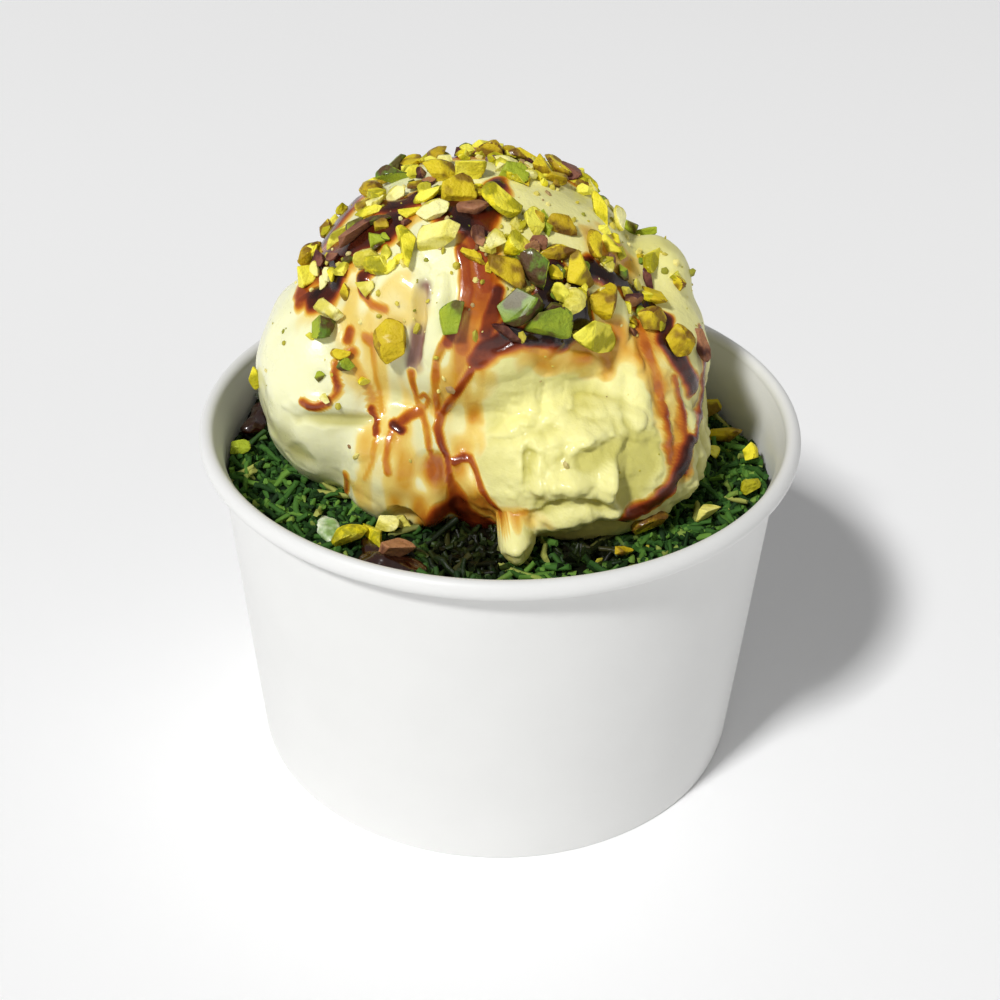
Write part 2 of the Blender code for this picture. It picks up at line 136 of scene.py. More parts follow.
# %% Smooth noise
def soft_noise(points, wavelength, seed):
    """Smooth noise from -1 to 1 at each point, with bumps about a wavelength apart."""
    size = 16
    table = np.random.default_rng(seed).uniform(-1, 1, (size, size, size))
    scaled = np.asarray(points) / wavelength
    cell = np.floor(scaled).astype(int)
    part = scaled - cell
    part = part * part * (3 - 2 * part)
    total = np.zeros(len(scaled))
    for corner in itertools.product((0, 1), repeat=3):
        i, j, k = ((cell + corner) % size).T
        weight = np.prod(np.where(np.array(corner) == 1, part, 1 - part), axis=1)
        total += weight * table[i, j, k]
    return total


def soft_step(value, low, high):
    """0 below low, 1 above high, and a smooth rise between them."""
    share = np.clip((value - low) / (high - low), 0, 1)
    return share * share * (3 - 2 * share)


print("noise at the origin:", round(float(soft_noise(np.zeros((1, 3)), MM, 1)[0]), 3))

# %% [markdown]
# ## The gelato as a distance
#
# A scoop of gelato is a few soft lumps pressed into one. Metaballs or sculpting could make
# that, but here a formula does: the distance to each of nine ellipsoids, with a smooth
# minimum that rounds the creases where they meet. Anything can then be laid on the surface
# by marching along a line until the distance is nothing.

# %% The lobes of the gelato
LOBES = {
    "body": ((2, 8, -7.5), (33, 26.5, 31)),
    "crown": ((-3.5, 6.5, 17), (26.5, 24.5, 20.5)),
    "front_scoop": ((11, -5.5, -1.5), (22, 20.5, 14.5)),
    "right_flank": ((18.5, 4, 8), (14.5, 17, 14.5)),
    "left_cheek": ((-25.5, 1, 5), (13, 17.5, 18)),
    "left_apron": ((-14, -9, -2.5), (11.5, 12.5, 12.5)),
    "right_shoulder": ((23.5, 8, 20), (6, 7, 6.5)),
    "front_drip": ((2.8, -26.0, -7.4), (2.9, 5.0, 3.1)),
    "left_drip": ((-10.5, -19.5, -5), (2.4, 3.2, 4.2)),
}
LOBE_BLEND = 2.6 * MM
GELATO_MIDDLE = np.array([-1.0, 4.0, 3.0]) * MM + [0, 0, CUP_HEIGHT]
GELATO_SINK = 15.0 * MM
BED_DEPTH = 9.8 * MM


def smooth_least(a, b, blend):
    """The lesser of two distances, with the corner between them rounded."""
    mix = np.clip(0.5 + 0.5 * (b - a) / blend, 0, 1)
    return b + (a - b) * mix - blend * mix * (1 - mix)


def gelato_distance(points):
    """How far each point is outside the gelato, less than nothing inside."""
    found = None
    for centre, half in LOBES.values():
        half = np.array(half) * MM
        offset = points - (np.array(centre) * MM + [0, 0, CUP_HEIGHT])
        reach = np.linalg.norm(offset / half, axis=1)
        slope = np.linalg.norm(offset / half**2, axis=1)
        far = reach * (reach - 1) / np.maximum(slope, 1e-9)
        found = far if found is None else smooth_least(found, far, LOBE_BLEND)
    below = (CUP_HEIGHT - GELATO_SINK) - points[:, 2]
    return -smooth_least(-found, -below, 1.0 * MM)


def march(starts, directions, steps=45, share=0.9):
    """Moves each start along its direction until it meets the gelato."""
    along = np.zeros(len(starts))
    for _ in range(steps):
        along += share * gelato_distance(starts + directions * along[:, None])
    return starts + directions * along[:, None]


def outward_of(places):
    """The gelato's outward direction at each place."""
    steps = 0.4 * MM * np.eye(3)
    slopes = np.stack([gelato_distance(places + s) - gelato_distance(places - s) for s in steps], 1)
    return slopes / np.linalg.norm(slopes, axis=1)[:, None]


print("gelato lobes:", ", ".join(LOBES))

# %% [markdown]
# ## Looking from the photograph's place
#
# The camera stands where the photographer stood: 273 mm from the cup, a third of the way
# from level to straight down. The same eye serves as a ruler. What was read in the picture,
# such as where a nut lies, becomes a line of sight, and the line is followed until it meets
# the gelato or the bed.

# %% The eye
EYE_DISTANCE = 273 * MM
EYE_ELEVATION = math.radians(33.46)
EYE_ROLL = math.radians(-0.94)
EYE_TARGET = np.array([0.16, 0, 41.45]) * MM
PICTURE_SIZE = 1000
PICTURE_MIDDLE = PICTURE_SIZE / 2
PICTURE_POINT = MM / 6
SIGHT_START = EYE_DISTANCE - 80 * MM
SIGHT_STEPS = 90
SIGHT_NEAR = 0.02 * MM


def eye_frame():
    """The eye's place, and the directions in which it looks and has its right and top."""
    forward = np.array([0, math.cos(EYE_ELEVATION), -math.sin(EYE_ELEVATION)])
    right = np.array([1.0, 0, 0])
    top = np.cross(right, forward)
    turn_cos, turn_sin = math.cos(EYE_ROLL), math.sin(EYE_ROLL)
    rolled_right = turn_cos * right - turn_sin * top
    rolled_top = turn_sin * right + turn_cos * top
    return EYE_TARGET - EYE_DISTANCE * forward, forward, rolled_right, rolled_top


def sight_lines(picture_points):
    """The eye's place and the direction through each point of the picture."""
    eye, _, right, top = eye_frame()
    offset = (np.asarray(picture_points, float) - PICTURE_MIDDLE) * PICTURE_POINT
    lines = EYE_TARGET + offset[:, :1] * right - offset[:, 1:] * top - eye
    return np.tile(eye, (len(lines), 1)), lines / np.linalg.norm(lines, axis=1)[:, None]


def seen_on_gelato(picture_points):
    """Where the points of the picture meet the gelato, or pass it most closely."""
    eyes, lines = sight_lines(picture_points)
    places = eyes + lines * SIGHT_START
    closest, least = places.copy(), gelato_distance(places)
    for _ in range(SIGHT_STEPS):
        away = gelato_distance(places)
        nearer = away < least
        closest[nearer], least[nearer] = places[nearer], away[nearer]
        stride = np.maximum(away * 0.8, SIGHT_NEAR) * (away > SIGHT_NEAR)
        places = places + lines * stride[:, None]
    normals = outward_of(closest)
    return closest - normals * gelato_distance(closest)[:, None]


# %% The camera
eye, forward, right, top = eye_frame()
lens = bpy.data.cameras.new("camera")
lens.sensor_width = 36
lens.lens = lens.sensor_width * EYE_DISTANCE / (PICTURE_SIZE * PICTURE_POINT)
lens.clip_start = 0.01
camera = bpy.data.objects.new("camera", lens)
axes = np.column_stack([right, top, -forward, eye])
camera.matrix_world = Matrix([*axes.tolist(), (0, 0, 0, 1)])
bpy.context.scene.collection.objects.link(camera)
bpy.context.scene.camera = camera
bpy.context.scene.view_settings.view_transform = "Standard"
print("lens", round(lens.lens, 2), "mm, eye at", np.round(eye, 4))

# %% [markdown]
# ## Sockets that do arithmetic
#
# Materials and Geometry Nodes are both graphs of sockets. Wiring Math nodes by hand hides
# the formula, so a small class wraps a socket and answers to +, -, * and /: an expression
# on values then adds its own Math nodes. Colours go through a Mix node instead, because a
# Math node would turn them grey.


# %% A socket that does arithmetic
class Value:
    """An output socket of a graph."""

    def __init__(self, graph, socket):
        self.graph = graph
        self.socket = socket

    def math(self, operation, *others):
        settings = {"operation": operation}
        return self.graph.add("ShaderNodeMath", settings, dict(enumerate([self, *others])))

    def __add__(self, other):
        return self.math("ADD", other)

    __radd__ = __add__

    def __mul__(self, other):
        return self.math("MULTIPLY", other)

    __rmul__ = __mul__

    def __sub__(self, other):
        return self.math("SUBTRACT", other)

    def __rsub__(self, other):
        return self.graph.add("ShaderNodeMath", {"operation": "SUBTRACT"}, {0: other, 1: self})

    def __truediv__(self, other):
        return self.math("DIVIDE", other)

    def __rtruediv__(self, other):
        return self.graph.add("ShaderNodeMath", {"operation": "DIVIDE"}, {0: other, 1: self})

    def between(self, low, high):
        """0 at low, 1 at high, and a smooth rise between them."""
        settings = {"interpolation_type": "SMOOTHSTEP"}
        sockets = {"Value": self, "From Min": low, "From Max": high}
        return self.graph.add("ShaderNodeMapRange", settings, sockets)

    def other(self, name):
        """Another output of the node that this value comes from."""
        return Value(self.graph, self.socket.node.outputs[name])


class Graph:
    """A node tree, to which nodes are added one call at a time."""

    def __init__(self, tree):
        self.tree = tree

    def add(self, kind, settings=None, sockets=None, output=0):
        """Adds a node: its settings first, then the values or links of its sockets."""
        node = self.tree.nodes.new(kind)
        for name, setting in (settings or {}).items():
            if name == "stops":
                self.set_stops(node.color_ramp, setting)
            else:
                setattr(node, name, setting)
        for key, given in (sockets or {}).items():
            socket = node.inputs[key]
            if isinstance(given, Value):
                self.tree.links.new(given.socket, socket)
            elif given is not None:
                socket.default_value = given
        return Value(self, node.outputs[output]) if node.outputs else None

    @staticmethod
    def set_stops(ramp, stops):
        """Stops of a colour ramp: where each is, and its colour."""
        while len(ramp.elements) < len(stops):
            ramp.elements.new(0.5)
        for element, (position, colour) in zip(ramp.elements, stops):
            element.position = position
            element.color = (*colour, 1)

    def mix(self, share, first, second):
        """A colour between two: the first where the share is 0, the second where it is 1."""
        given = {0: share, 6: self.opaque(first), 7: self.opaque(second)}
        return self.add("ShaderNodeMix", {"data_type": "RGBA"}, given, output=2)

    @staticmethod
    def opaque(colour):
        return colour if isinstance(colour, Value) else (*colour, 1)


print("graph helpers ready")

# %% [markdown]
# ## Colours and finishes
#
# A colour seen in a picture is in sRGB, and a shader works with light, so each colour is
# turned to linear once. A finish is a Principled shader with a few fixed values and, where
# the surface changes, a linked colour, roughness, coat weight and bump.


# %% Helpers for finishes
def colour(red, green, blue):
    """A colour as it is seen on a screen, 0 to 255, turned into linear light."""
    parts = np.array([red, green, blue]) / 255
    linear = np.where(parts <= 0.04045, parts / 12.92, ((parts + 0.055) / 1.055) ** 2.4)
    return tuple(float(part) for part in linear)


class Finish(Graph):
    """A material's graph, with the patterns that the finishes here share."""

    def __init__(self, name, **fixed):
        self.material = bpy.data.materials.new(name)
        self.material.use_nodes = True
        super().__init__(self.material.node_tree)
        self.shader = self.tree.nodes["Principled BSDF"]
        for socket, value in fixed.items():
            self.shader.inputs[socket.replace("_", " ")].default_value = value
        self.place = self.add("ShaderNodeTexCoord", output="Object")

    def noise(self, size, detail=3, rough=0.5):
        """Noise from 0 to 1 with bumps of about this size."""
        sockets = {"Vector": self.place, "Scale": 0.7 / size, "Detail": detail, "Roughness": rough}
        return self.add("ShaderNodeTexNoise", None, sockets)

    def attribute(self, name):
        """A number kept on the mesh."""
        return self.add("ShaderNodeAttribute", {"attribute_name": name}, output="Fac")

    def bump(self, height, depth, strength=1.0, under=None):
        """A bump from a height of 0 to 1, as deep as it says in metres."""
        sockets = {"Height": height, "Distance": depth, "Strength": strength, "Normal": under}
        return self.add("ShaderNodeBump", None, sockets)

    def paint(self, **linked):
        """Links values to the shader's own sockets."""
        for socket, value in linked.items():
            self.tree.links.new(value.socket, self.shader.inputs[socket.replace("_", " ")])
        return self.material


def add_piece(name, mesh, finish):
    """A finished piece at the origin, with its place in its mesh."""
    piece = bpy.data.objects.new(name, mesh)
    bpy.context.scene.collection.objects.link(piece)
    mesh.materials.clear()
    mesh.materials.append(finish)
    return piece


def keep_number(mesh, name, values):
    """Keeps a number for each point of the mesh, for the materials and the node trees."""
    attribute = mesh.attributes.new(name, "FLOAT", "POINT")
    attribute.data.foreach_set("value", np.asarray(values, dtype=np.float32))


print("cream as linear light:", [round(part, 3) for part in colour(236, 231, 178)])

# %% [markdown]
# ## Closed meshes from rings
#
# The gelato and the pastry bed are both closed shapes that can be peeled into rings from
# one pole to the other. A grid of points makes them, and one helper turns such a grid into
# a mesh with its faces outward.


# %% Rings to mesh
def ringed_mesh(name, first_pole, rings, last_pole):
    """A closed mesh from a pole, through rings of points that turn the same way, to a pole."""
    count = rings.shape[1]
    points = np.vstack([[first_pole], rings.reshape(-1, 3), [last_pole]])
    last = len(points) - 1
    ring = np.arange(count)
    following = (ring + 1) % count
    faces = [(0, 1 + j, 1 + i) for i, j in zip(ring, following)]
    for low in 1 + count * np.arange(len(rings) - 1):
        quads = np.column_stack([low + ring, low + following, low + count + following, low + count + ring])
        faces.extend(map(tuple, quads.tolist()))
    faces += [(last - count + i, last - count + j, last) for i, j in zip(ring, following)]
    mesh = bpy.data.meshes.new(name)
    mesh.from_pydata(points.tolist(), [], [tuple(map(int, face)) for face in faces])
    bm = bmesh.new()
    bm.from_mesh(mesh)
    bmesh.ops.recalc_face_normals(bm, faces=bm.faces)
    bm.to_mesh(mesh)
    bm.free()
    mesh.shade_smooth()
    return mesh


# %% [markdown]
# ## The paper cup
#
# The real cup is a sheet of coated board wrapped into a cone. A disc is set into its foot,
# the foot is folded up round the disc, and the top edge is rolled outward into the rim. It
# could be a cylinder with a taper and a bevel, but the section is what matters here, so the
# section is drawn once and spun round the axis. Two hundred steps make the rim truly round.

# %% The cup's section
CUP_SIDES = 200
FLOOR_TOP = FLOOR_LIFT + WALL


def roll_arc(start, end, count):
    """Points on the rolled rim's oval section, from one angle to another in degrees."""
    for angle in np.radians(np.linspace(start, end, count)):
        yield (
            RIM_RADIUS - ROLL_WIDTH / 2 * (1 - math.cos(angle)),
            CUP_HEIGHT - ROLL_HEIGHT / 2 * (1 - math.sin(angle)),
        )


def cup_profile():
    """The cup's section, from the middle of its floor over the rim to the middle beneath."""
    roll_root = CUP_HEIGHT - ROLL_HEIGHT
    foot_inner = BASE_RADIUS - FOOT_WIDTH
    bend = 0.5 * MM
    inner = [(cup_inner_radius(z), z) for z in np.linspace(FLOOR_TOP + bend, roll_root, 12)]
    outer = [(cup_outer_radius(z), z) for z in np.linspace(roll_root - 0.4 * MM, 0.5 * MM, 12)]
    return [
        (0, FLOOR_TOP),
        (0.5 * BASE_RADIUS, FLOOR_TOP),
        (cup_inner_radius(FLOOR_TOP) - bend, FLOOR_TOP),
        *inner,
        *roll_arc(180, -115, 30),
        (cup_outer_radius(roll_root) + 0.1 * MM, roll_root + 0.3 * MM),
        *outer,
        (BASE_RADIUS - 0.05 * MM, 0.12 * MM),
        (BASE_RADIUS - 0.3 * MM, 0),
        (foot_inner + 0.2 * MM, 0),
        (foot_inner, 0.2 * MM),
        (foot_inner, FLOOR_LIFT - 0.3 * MM),
        (foot_inner - 0.3 * MM, FLOOR_LIFT),
        (0, FLOOR_LIFT),
    ]


# %% Spinning the section
def spun_cup():
    profile = np.array(cup_profile())
    turns = np.linspace(0, 2 * math.pi, CUP_SIDES, endpoint=False)
    radius, height = profile[1:-1, 0], profile[1:-1, 1]
    rings = np.stack([
        radius[:, None] * np.cos(turns), radius[:, None] * np.sin(turns), np.tile(height[:, None], CUP_SIDES)
    ], -1)
    mesh = ringed_mesh("paper_cup_dressed", (0, 0, profile[0, 1]), rings, (0, 0, profile[-1, 1]))
    mesh.set_sharp_from_angle(angle=math.radians(50))
    return mesh


# %% [markdown]
# Coated board is smooth but not perfect: it has a fine fibre grain under a thin satin
# coating, and the white varies a little. Both are noise, far finer than the cup. The seam
# where the sheet's ends overlap runs up the back, as a low step in the bump.

# %% The board's finish
SEAM_HALF_WIDTH = 3.5 * MM


def board_finish():
    board = Finish("board", Roughness=0.42, IOR=1.45)
    fibre = board.noise(0.45 * MM, detail=4, rough=0.6)
    cloud = board.noise(9 * MM, detail=2)
    white = board.mix(cloud, colour(222, 222, 220), colour(228, 228, 226))
    place = board.add("ShaderNodeSeparateXYZ", None, {0: board.place}, output="X")
    behind = place.other("Y").between(20 * MM, 21 * MM)
    lap = place.math("ABSOLUTE").between(SEAM_HALF_WIDTH + 0.15 * MM, SEAM_HALF_WIDTH - 0.15 * MM)
    grain = board.bump(fibre, 0.03 * MM, strength=0.5)
    relief = board.bump(lap * behind, 0.25 * MM, under=grain)
    return board.paint(Base_Color=white, Roughness=0.36 + 0.14 * fibre, Normal=relief)


cup = add_piece("paper_cup_dressed", spun_cup(), board_finish())
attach(cup, "root")
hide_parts("paper_cup")
print("cup:", len(cup.data.vertices), "points")

# %% [markdown]
# ## Where the syrup runs
#
# Thick brown syrup was drizzled over the gelato. It pools in the hollows between the nuts,
# nearly black, and runs down in streams that thin to amber. The whole story is in one
# number, how thick the syrup lies: it lifts the surface, and the finish turns it into
# colour. Each stream is a thickness and a width in millimetres, and a few points of the
# picture that it runs through. A veil is a wider, thinner stream that is broken into streaks.
# Behind, where the picture doesn't show, the runs are given by bearings round the middle.

# %% The streams of syrup
STREAMS = {
    "main_band": (0.46, 3.9, [(478, 235), (480, 262), (483, 290)]),
    "main_edge_left": (0.52, 1.1, [(466, 286), (464, 304), (456, 324), (448, 344)]),
    "main_edge_right": (0.62, 1.7, [(497, 292), (494, 312), (486, 334)]),
    "main_core": (0.56, 1.5, [(462, 250), (466, 270), (468, 290), (466, 306)]),
    "main_maroon": (0.72, 2.6, [(524, 338), (506, 342), (491, 348), (480, 360)]),
    "main_heart": (0.52, 2.2, [(476, 240), (482, 262), (486, 290)]),
    "main_left_line": (0.36, 0.8, [(455, 334), (444, 346), (437, 362), (436, 385), (436, 402), (438, 418)]),
    "main_right_line": (
        0.5, 0.95, [(488, 350), (473, 368), (461, 388), (450, 402), (441, 415), (438, 428), (441, 442)]
    ),
    "main_foot_line": (0.5, 0.9, [(441, 442), (447, 458), (450, 475), (453, 492), (456, 508)]),
    "middle_line": (
        0.34, 0.75,
        [(411, 372), (414, 388), (416, 400), (421, 412), (425, 425), (428, 442), (431, 460), (437, 470)],
    ),
    "middle_ring": (0.34, 0.6, [(419, 398), (424, 394), (428, 400), (424, 408), (418, 404)]),
    "patch": (0.42, 1.2, [(419, 412), (408, 416), (399, 424)]),
    "patch_heart": (0.6, 1.0, [(394, 424), (402, 430)]),
    "patch_tail": (0.3, 0.8, [(392, 432), (389, 446), (387, 460), (389, 472)]),
    "hook": (0.46, 0.9, [(338, 364), (336, 374), (339, 386), (336, 396), (329, 404), (318, 408), (307, 402)]),
    "hook_tip": (0.62, 0.8, [(332, 402), (322, 407), (312, 406)]),
    "hook_top": (0.4, 1.2, [(352, 352), (344, 358), (338, 364)]),
    "hook_right": (0.24, 1.1, [(352, 360), (361, 374), (368, 388), (373, 400)]),
    "hook_right_dark": (0.56, 0.75, [(373, 408), (374, 420), (378, 432)]),
    "hook_right_foot": (0.22, 0.8, [(378, 440), (374, 460), (366, 478)]),
    "thin_line": (0.22, 0.75, [(372, 336), (374, 356), (376, 378), (379, 396), (381, 412)]),
    "left_spot": (0.45, 1.0, [(350, 331), (348, 340)]),
    "left_spot_pale": (0.3, 1.2, [(366, 338), (374, 342)]),
    "left_stain": (0.8, 4.4, [(392, 226), (364, 240), (338, 254), (322, 268)]),
    "left_slope": (0.85, 2.8, [(338, 256), (340, 272), (332, 292), (318, 300)]),
    "left_pool": (1.0, 1.8, [(333, 262), (342, 272), (338, 286)]),
    "left_pool_front": (0.8, 1.5, [(372, 270), (362, 278), (366, 290)]),
    "left_curl": (0.36, 0.85, [(364, 294), (372, 305), (386, 310)]),
    "left_brow": (0.7, 1.3, [(304, 300), (318, 292), (330, 296)]),
    "left_rim": (0.6, 1.6, [(318, 268), (306, 284), (302, 304)]),
    "brow_top": (0.75, 2.6, [(376, 210), (402, 206), (424, 196), (442, 200)]),
    "crown_dark": (0.85, 3.0, [(446, 208), (466, 222), (482, 232), (488, 208), (496, 188)]),
    "crown_back": (0.6, 2.0, [(528, 158), (560, 166), (588, 186)]),
    "pool_left": (1.1, 2.0, [(508, 332), (528, 340), (552, 340)]),
    "pool_top": (1.2, 2.8, [(552, 268), (548, 288), (545, 306)]),
    "pool_middle": (1.4, 3.6, [(562, 300), (575, 300), (576, 320), (560, 334)]),
    "pool_right": (1.1, 2.2, [(590, 268), (604, 278), (620, 284), (634, 300)]),
    "pool_edge": (0.9, 2.0, [(648, 306), (664, 320), (662, 340), (678, 362), (692, 386)]),
    "right_edge_line": (0.36, 1.2, [(634, 322), (642, 342), (650, 362), (656, 384)]),
    "right_streak": (0.44, 1.0, [(656, 384), (666, 410), (672, 440), (672, 462)]),
    "right_streak_outer": (0.46, 1.0, [(672, 378), (682, 410), (687, 440)]),
    "right_dark": (0.85, 1.6, [(690, 440), (684, 462), (672, 482), (656, 499), (640, 511), (626, 519)]),
    "right_rim": (0.7, 0.9, [(697, 330), (702, 356), (703, 385), (700, 412), (694, 440)]),
    "swirl": (
        0.52, 0.85, [(455, 460), (463, 456), (470, 459), (476, 472), (482, 488), (489, 500), (500, 510)]
    ),
    "swirl_end": (0.3, 0.7, [(500, 510), (513, 514), (526, 512)]),
    "front_brown": (0.55, 2.4, [(432, 528), (440, 514), (452, 504), (458, 490)]),
    "front_dark": (0.74, 2.5, [(456, 500), (466, 512), (480, 520), (494, 526)]),
    "front_deep": (1.0, 3.0, [(450, 526), (466, 528), (480, 532), (492, 533)]),
    "left_foot_line": (0.4, 0.8, [(346, 474), (347, 488), (346, 500), (353, 509), (363, 518), (374, 524)]),
    "torn_top": (0.3, 1.6, [(520, 346), (540, 352), (566, 348)]),
    "behind_left": (0.8, 4.0, [(352, 205), (330, 236), (316, 252)]),
}
VEILS = {
    "front_left": (0.09, 8.0, [(372, 330), (376, 380), (385, 430)]),
    "left_foot": (0.2, 7.0, [(383, 446), (383, 476), (385, 506)]),
    "left_foot_right": (0.24, 4.5, [(402, 496), (428, 508)]),
    "main_lens": (0.34, 2.8, [(484, 296), (476, 322), (464, 346)]),
    "centre_lens": (0.24, 3.0, [(464, 346), (457, 364), (448, 384), (440, 406)]),
    "front_band": (0.31, 4.0, [(440, 470), (441, 490), (438, 512), (428, 530)]),
    "swirl_inside": (0.28, 3.4, [(462, 474), (474, 494), (494, 514)]),
    "ball_foot": (0.15, 2.0, [(502, 512), (522, 518), (546, 521)]),
    "ball_left": (0.14, 4.0, [(478, 380), (456, 420), (462, 450)]),
    "ball_edge": (0.22, 2.2, [(480, 364), (474, 390), (470, 416)]),
    "right_wash": (0.3, 4.2, [(646, 346), (662, 385), (678, 430), (682, 462)]),
    "under_nuts": (0.24, 5.0, [(540, 352), (575, 350), (606, 348)]),
    "left_top": (0.08, 7.5, [(330, 300), (360, 316), (400, 300)]),
    "crown_right": (0.22, 5.0, [(600, 240), (626, 262)]),
}
# Places where syrup sank under the cream. Their dull mauve is partly painted shade, in the hollow beside the
# column and on the gelato's right rim.
SUNK_AND_SHADE = {
    "left_column": (1.1, 1.5, [(425, 288), (421, 306), (417, 326), (415, 348), (412, 366)]),
    "right_rim": (0.7, 1.8, [(700, 350), (704, 380), (700, 408)]),
}
BACK_RUNS = {
    "back_pool": (0.85, 4.6, [(1.1, 0.35), (1.5, 0.42), (2.0, 0.4)]),
    "back_left": (0.62, 2.6, [(2.2, 0.45), (2.42, 0.62), (2.34, 0.8), (2.5, 0.94)]),
    "back_left_tail": (0.36, 1.2, [(2.5, 0.94), (2.44, 1.12), (2.56, 1.28), (2.52, 1.46)]),
    "back_left_side": (0.3, 1.0, [(2.34, 0.8), (2.18, 0.96), (2.24, 1.14)]),
    "back_middle": (0.75, 2.9, [(1.7, 0.5), (1.82, 0.68), (1.66, 0.86)]),
    "back_middle_tail": (0.5, 1.5, [(1.66, 0.86), (1.74, 1.04), (1.6, 1.2), (1.66, 1.4)]),
    "back_middle_side": (0.34, 0.9, [(1.82, 0.68), (1.98, 0.9), (1.92, 1.1), (2.02, 1.3)]),
    "back_right": (0.55, 2.2, [(1.0, 0.5), (0.84, 0.68), (0.95, 0.86)]),
    "back_right_tail": (0.32, 1.1, [(0.95, 0.86), (0.86, 1.04), (0.98, 1.22)]),
    "back_wash": (0.16, 7.0, [(2.3, 0.7), (1.7, 0.9), (1.1, 0.8)]),
}


# %% From points to a stream on the gelato
def finely(points, per_leg=14):
    """The same path with points close together."""
    knots = np.array(points, float)
    steps = np.linspace(0, len(knots) - 1, per_leg * len(knots))
    return np.stack([np.interp(steps, range(len(knots)), knots[:, k]) for k in (0, 1)], 1)


def met_from_outside(outward):
    """Where each direction from the gelato's middle passes through its surface."""
    return march(GELATO_MIDDLE + outward * 60 * MM, -outward)


def from_bearings(bearings):
    """Places on the gelato by the turn round its middle and the tilt from its top."""
    turn, tilt = np.array(bearings, float).T
    outward = np.stack([np.cos(turn) * np.sin(tilt), np.sin(turn) * np.sin(tilt), np.cos(tilt)], 1)
    return met_from_outside(outward)


def stream_paths(streams, lay=seen_on_gelato):
    """Each stream's thickness, width and finely spaced places."""
    return [
        (thickness * MM, width * MM, lay(finely(points)))
        for thickness, width, points in streams.values()
    ]


def thickness_over(points, paths):
    """How thick the syrup of these paths lies at each point."""
    wander = 1 + 0.28 * soft_noise(points, 2.4 * MM, 41) + 0.12 * soft_noise(points, 1.3 * MM, 42)
    deeper = 1 + 0.3 * soft_noise(points, 3 * MM, 44)
    thickest = np.zeros(len(points))
    for thickness, width, path in paths:
        reach = np.ptp(path, axis=0).max() / 2 + 2 * width
        middle = (path.min(0) + path.max(0)) / 2
        near = np.flatnonzero(np.abs(points - middle).max(1) < reach)
        if len(near) == 0:
            continue
        away = np.min([np.linalg.norm(points[near] - place, axis=1) for place in path], axis=0)
        profile = 1 - soft_step(away * wander[near] / width, 0.3, 1.12)
        thickest[near] = np.maximum(thickest[near], thickness * deeper[near] * profile)
    return thickest


print("streams:", len(STREAMS), "veils:", len(VEILS), "runs behind:", len(BACK_RUNS))

# %% [markdown]
# ## The gelato's surface
#
# The mound is star-shaped: from its middle, each direction meets the surface once. So a
# grid of directions is marched inward from outside, and what a scoop and a little melting
# do is added along each direction. The front scoop is torn, with drag marks across it and a
# ragged ledge low down, and the back is torn half as deeply. The left side and the crown have
# melted and are smooth, with soft folds. Lumps that the picture shows are added one by one,
# each with its half sizes in picture points, its angle, and its height in millimetres.

# %% Relief of the gelato
GELATO_SIDES, GELATO_RINGS = 400, 238
CRAG_DEPTH = 1.215 * MM
FOLD_DEPTH = 0.42 * MM
RELIEF_UNDER_SYRUP = 0.6
SYRUP_RISE = 0.6
LUMPS = {
    "cream_peak": ((616, 322), (8, 20), 8, 1.9),
    "cream_peak_foot": ((626, 352), (9, 18), 15, 1.0),
    "torn_edge": ((512, 362), (34, 12), 25, 1.0),
    "torn_edge_right": ((572, 362), (30, 9), -8, 0.9),
    "bright_lump": ((594, 437), (17, 9), 12, 0.9),
    "bright_lump_left": ((571, 430), (12, 14), 40, 0.6),
    "small_ridge": ((516, 428), (20, 7), 20, 1.0),
    "hollow_right": ((598, 458), (24, 13), 24, -1.2),
    "hollow_far": ((636, 478), (16, 32), -8, -1.8),
    "step_left": ((528, 468), (5, 24), -4, -1.0),
    "lump_low": ((570, 482), (16, 8), 8, 1.6),
    "lump_low_left": ((545, 490), (12, 8), -20, 0.8),
    "lump_low_right": ((609, 484), (6, 20), -8, 1.9),
    "crease_left": ((555, 507), (14, 4), 26, -0.9),
    "crease_right": ((598, 506), (20, 4), -16, -1.0),
    "flap": ((576, 517), (20, 8), 18, 1.3),
    "flap_tip": ((547, 526), (14, 8), 14, 1.3),
    "flap_end": ((612, 514), (10, 8), 40, 0.9),
    "under_flap": ((600, 532), (34, 6), 14, -1.6),
    "foot_arch": ((402, 522), (15, 12), 0, -2.8),
    "foot_drip": ((421, 534), (7, 12), 0, 1.8),
    "facet_middle": ((545, 405), (30, 16), 30, 0.6),
    "ridge_right": ((640, 410), (10, 40), 8, 0.8),
    "left_hump": ((404, 284), (22, 20), 10, 0.9),
    "column": ((419, 326), (5, 38), -8, -1.5),
    "column_side": ((438, 320), (8, 34), -8, 0.7),
    "left_fold": ((342, 420), (34, 6), -4, -1.1),
    "left_fold_lip": ((335, 404), (34, 9), -4, 0.7),
    "left_dent": ((298, 456), (16, 9), -20, -0.6),
    "left_front_fold": ((430, 462), (14, 10), 10, -0.6),
    "left_belly": ((352, 446), (24, 16), 20, 0.5),
    "left_foot_lip": ((362, 506), (18, 8), -30, 0.6),
    "swirl_ridge": ((468, 482), (8, 26), 25, 0.9),
    "rim_knob": ((690, 478), (9, 9), 0, 0.9),
    "drip_head": ((514, 547), (13, 9), 10, 1.3),
    "drip_left": ((502, 567), (5, 9), 10, -1.0),
    "drip_right": ((535, 563), (6, 11), -10, -1.3),
    "small_drip": ((473, 541), (4, 9), 10, 1.6),
}


def scooped(points):
    """1 on the scoop in front, half as much behind, and 0 on the crown, which is smooth."""
    low = 1 - soft_step(points[:, 2], CUP_HEIGHT + 8 * MM, CUP_HEIGHT + 18 * MM)
    front = soft_step(-points[:, 1], -8 * MM, 2 * MM)
    behind = soft_step(points[:, 1], 12 * MM, 24 * MM)
    return low * (front + 0.5 * behind)


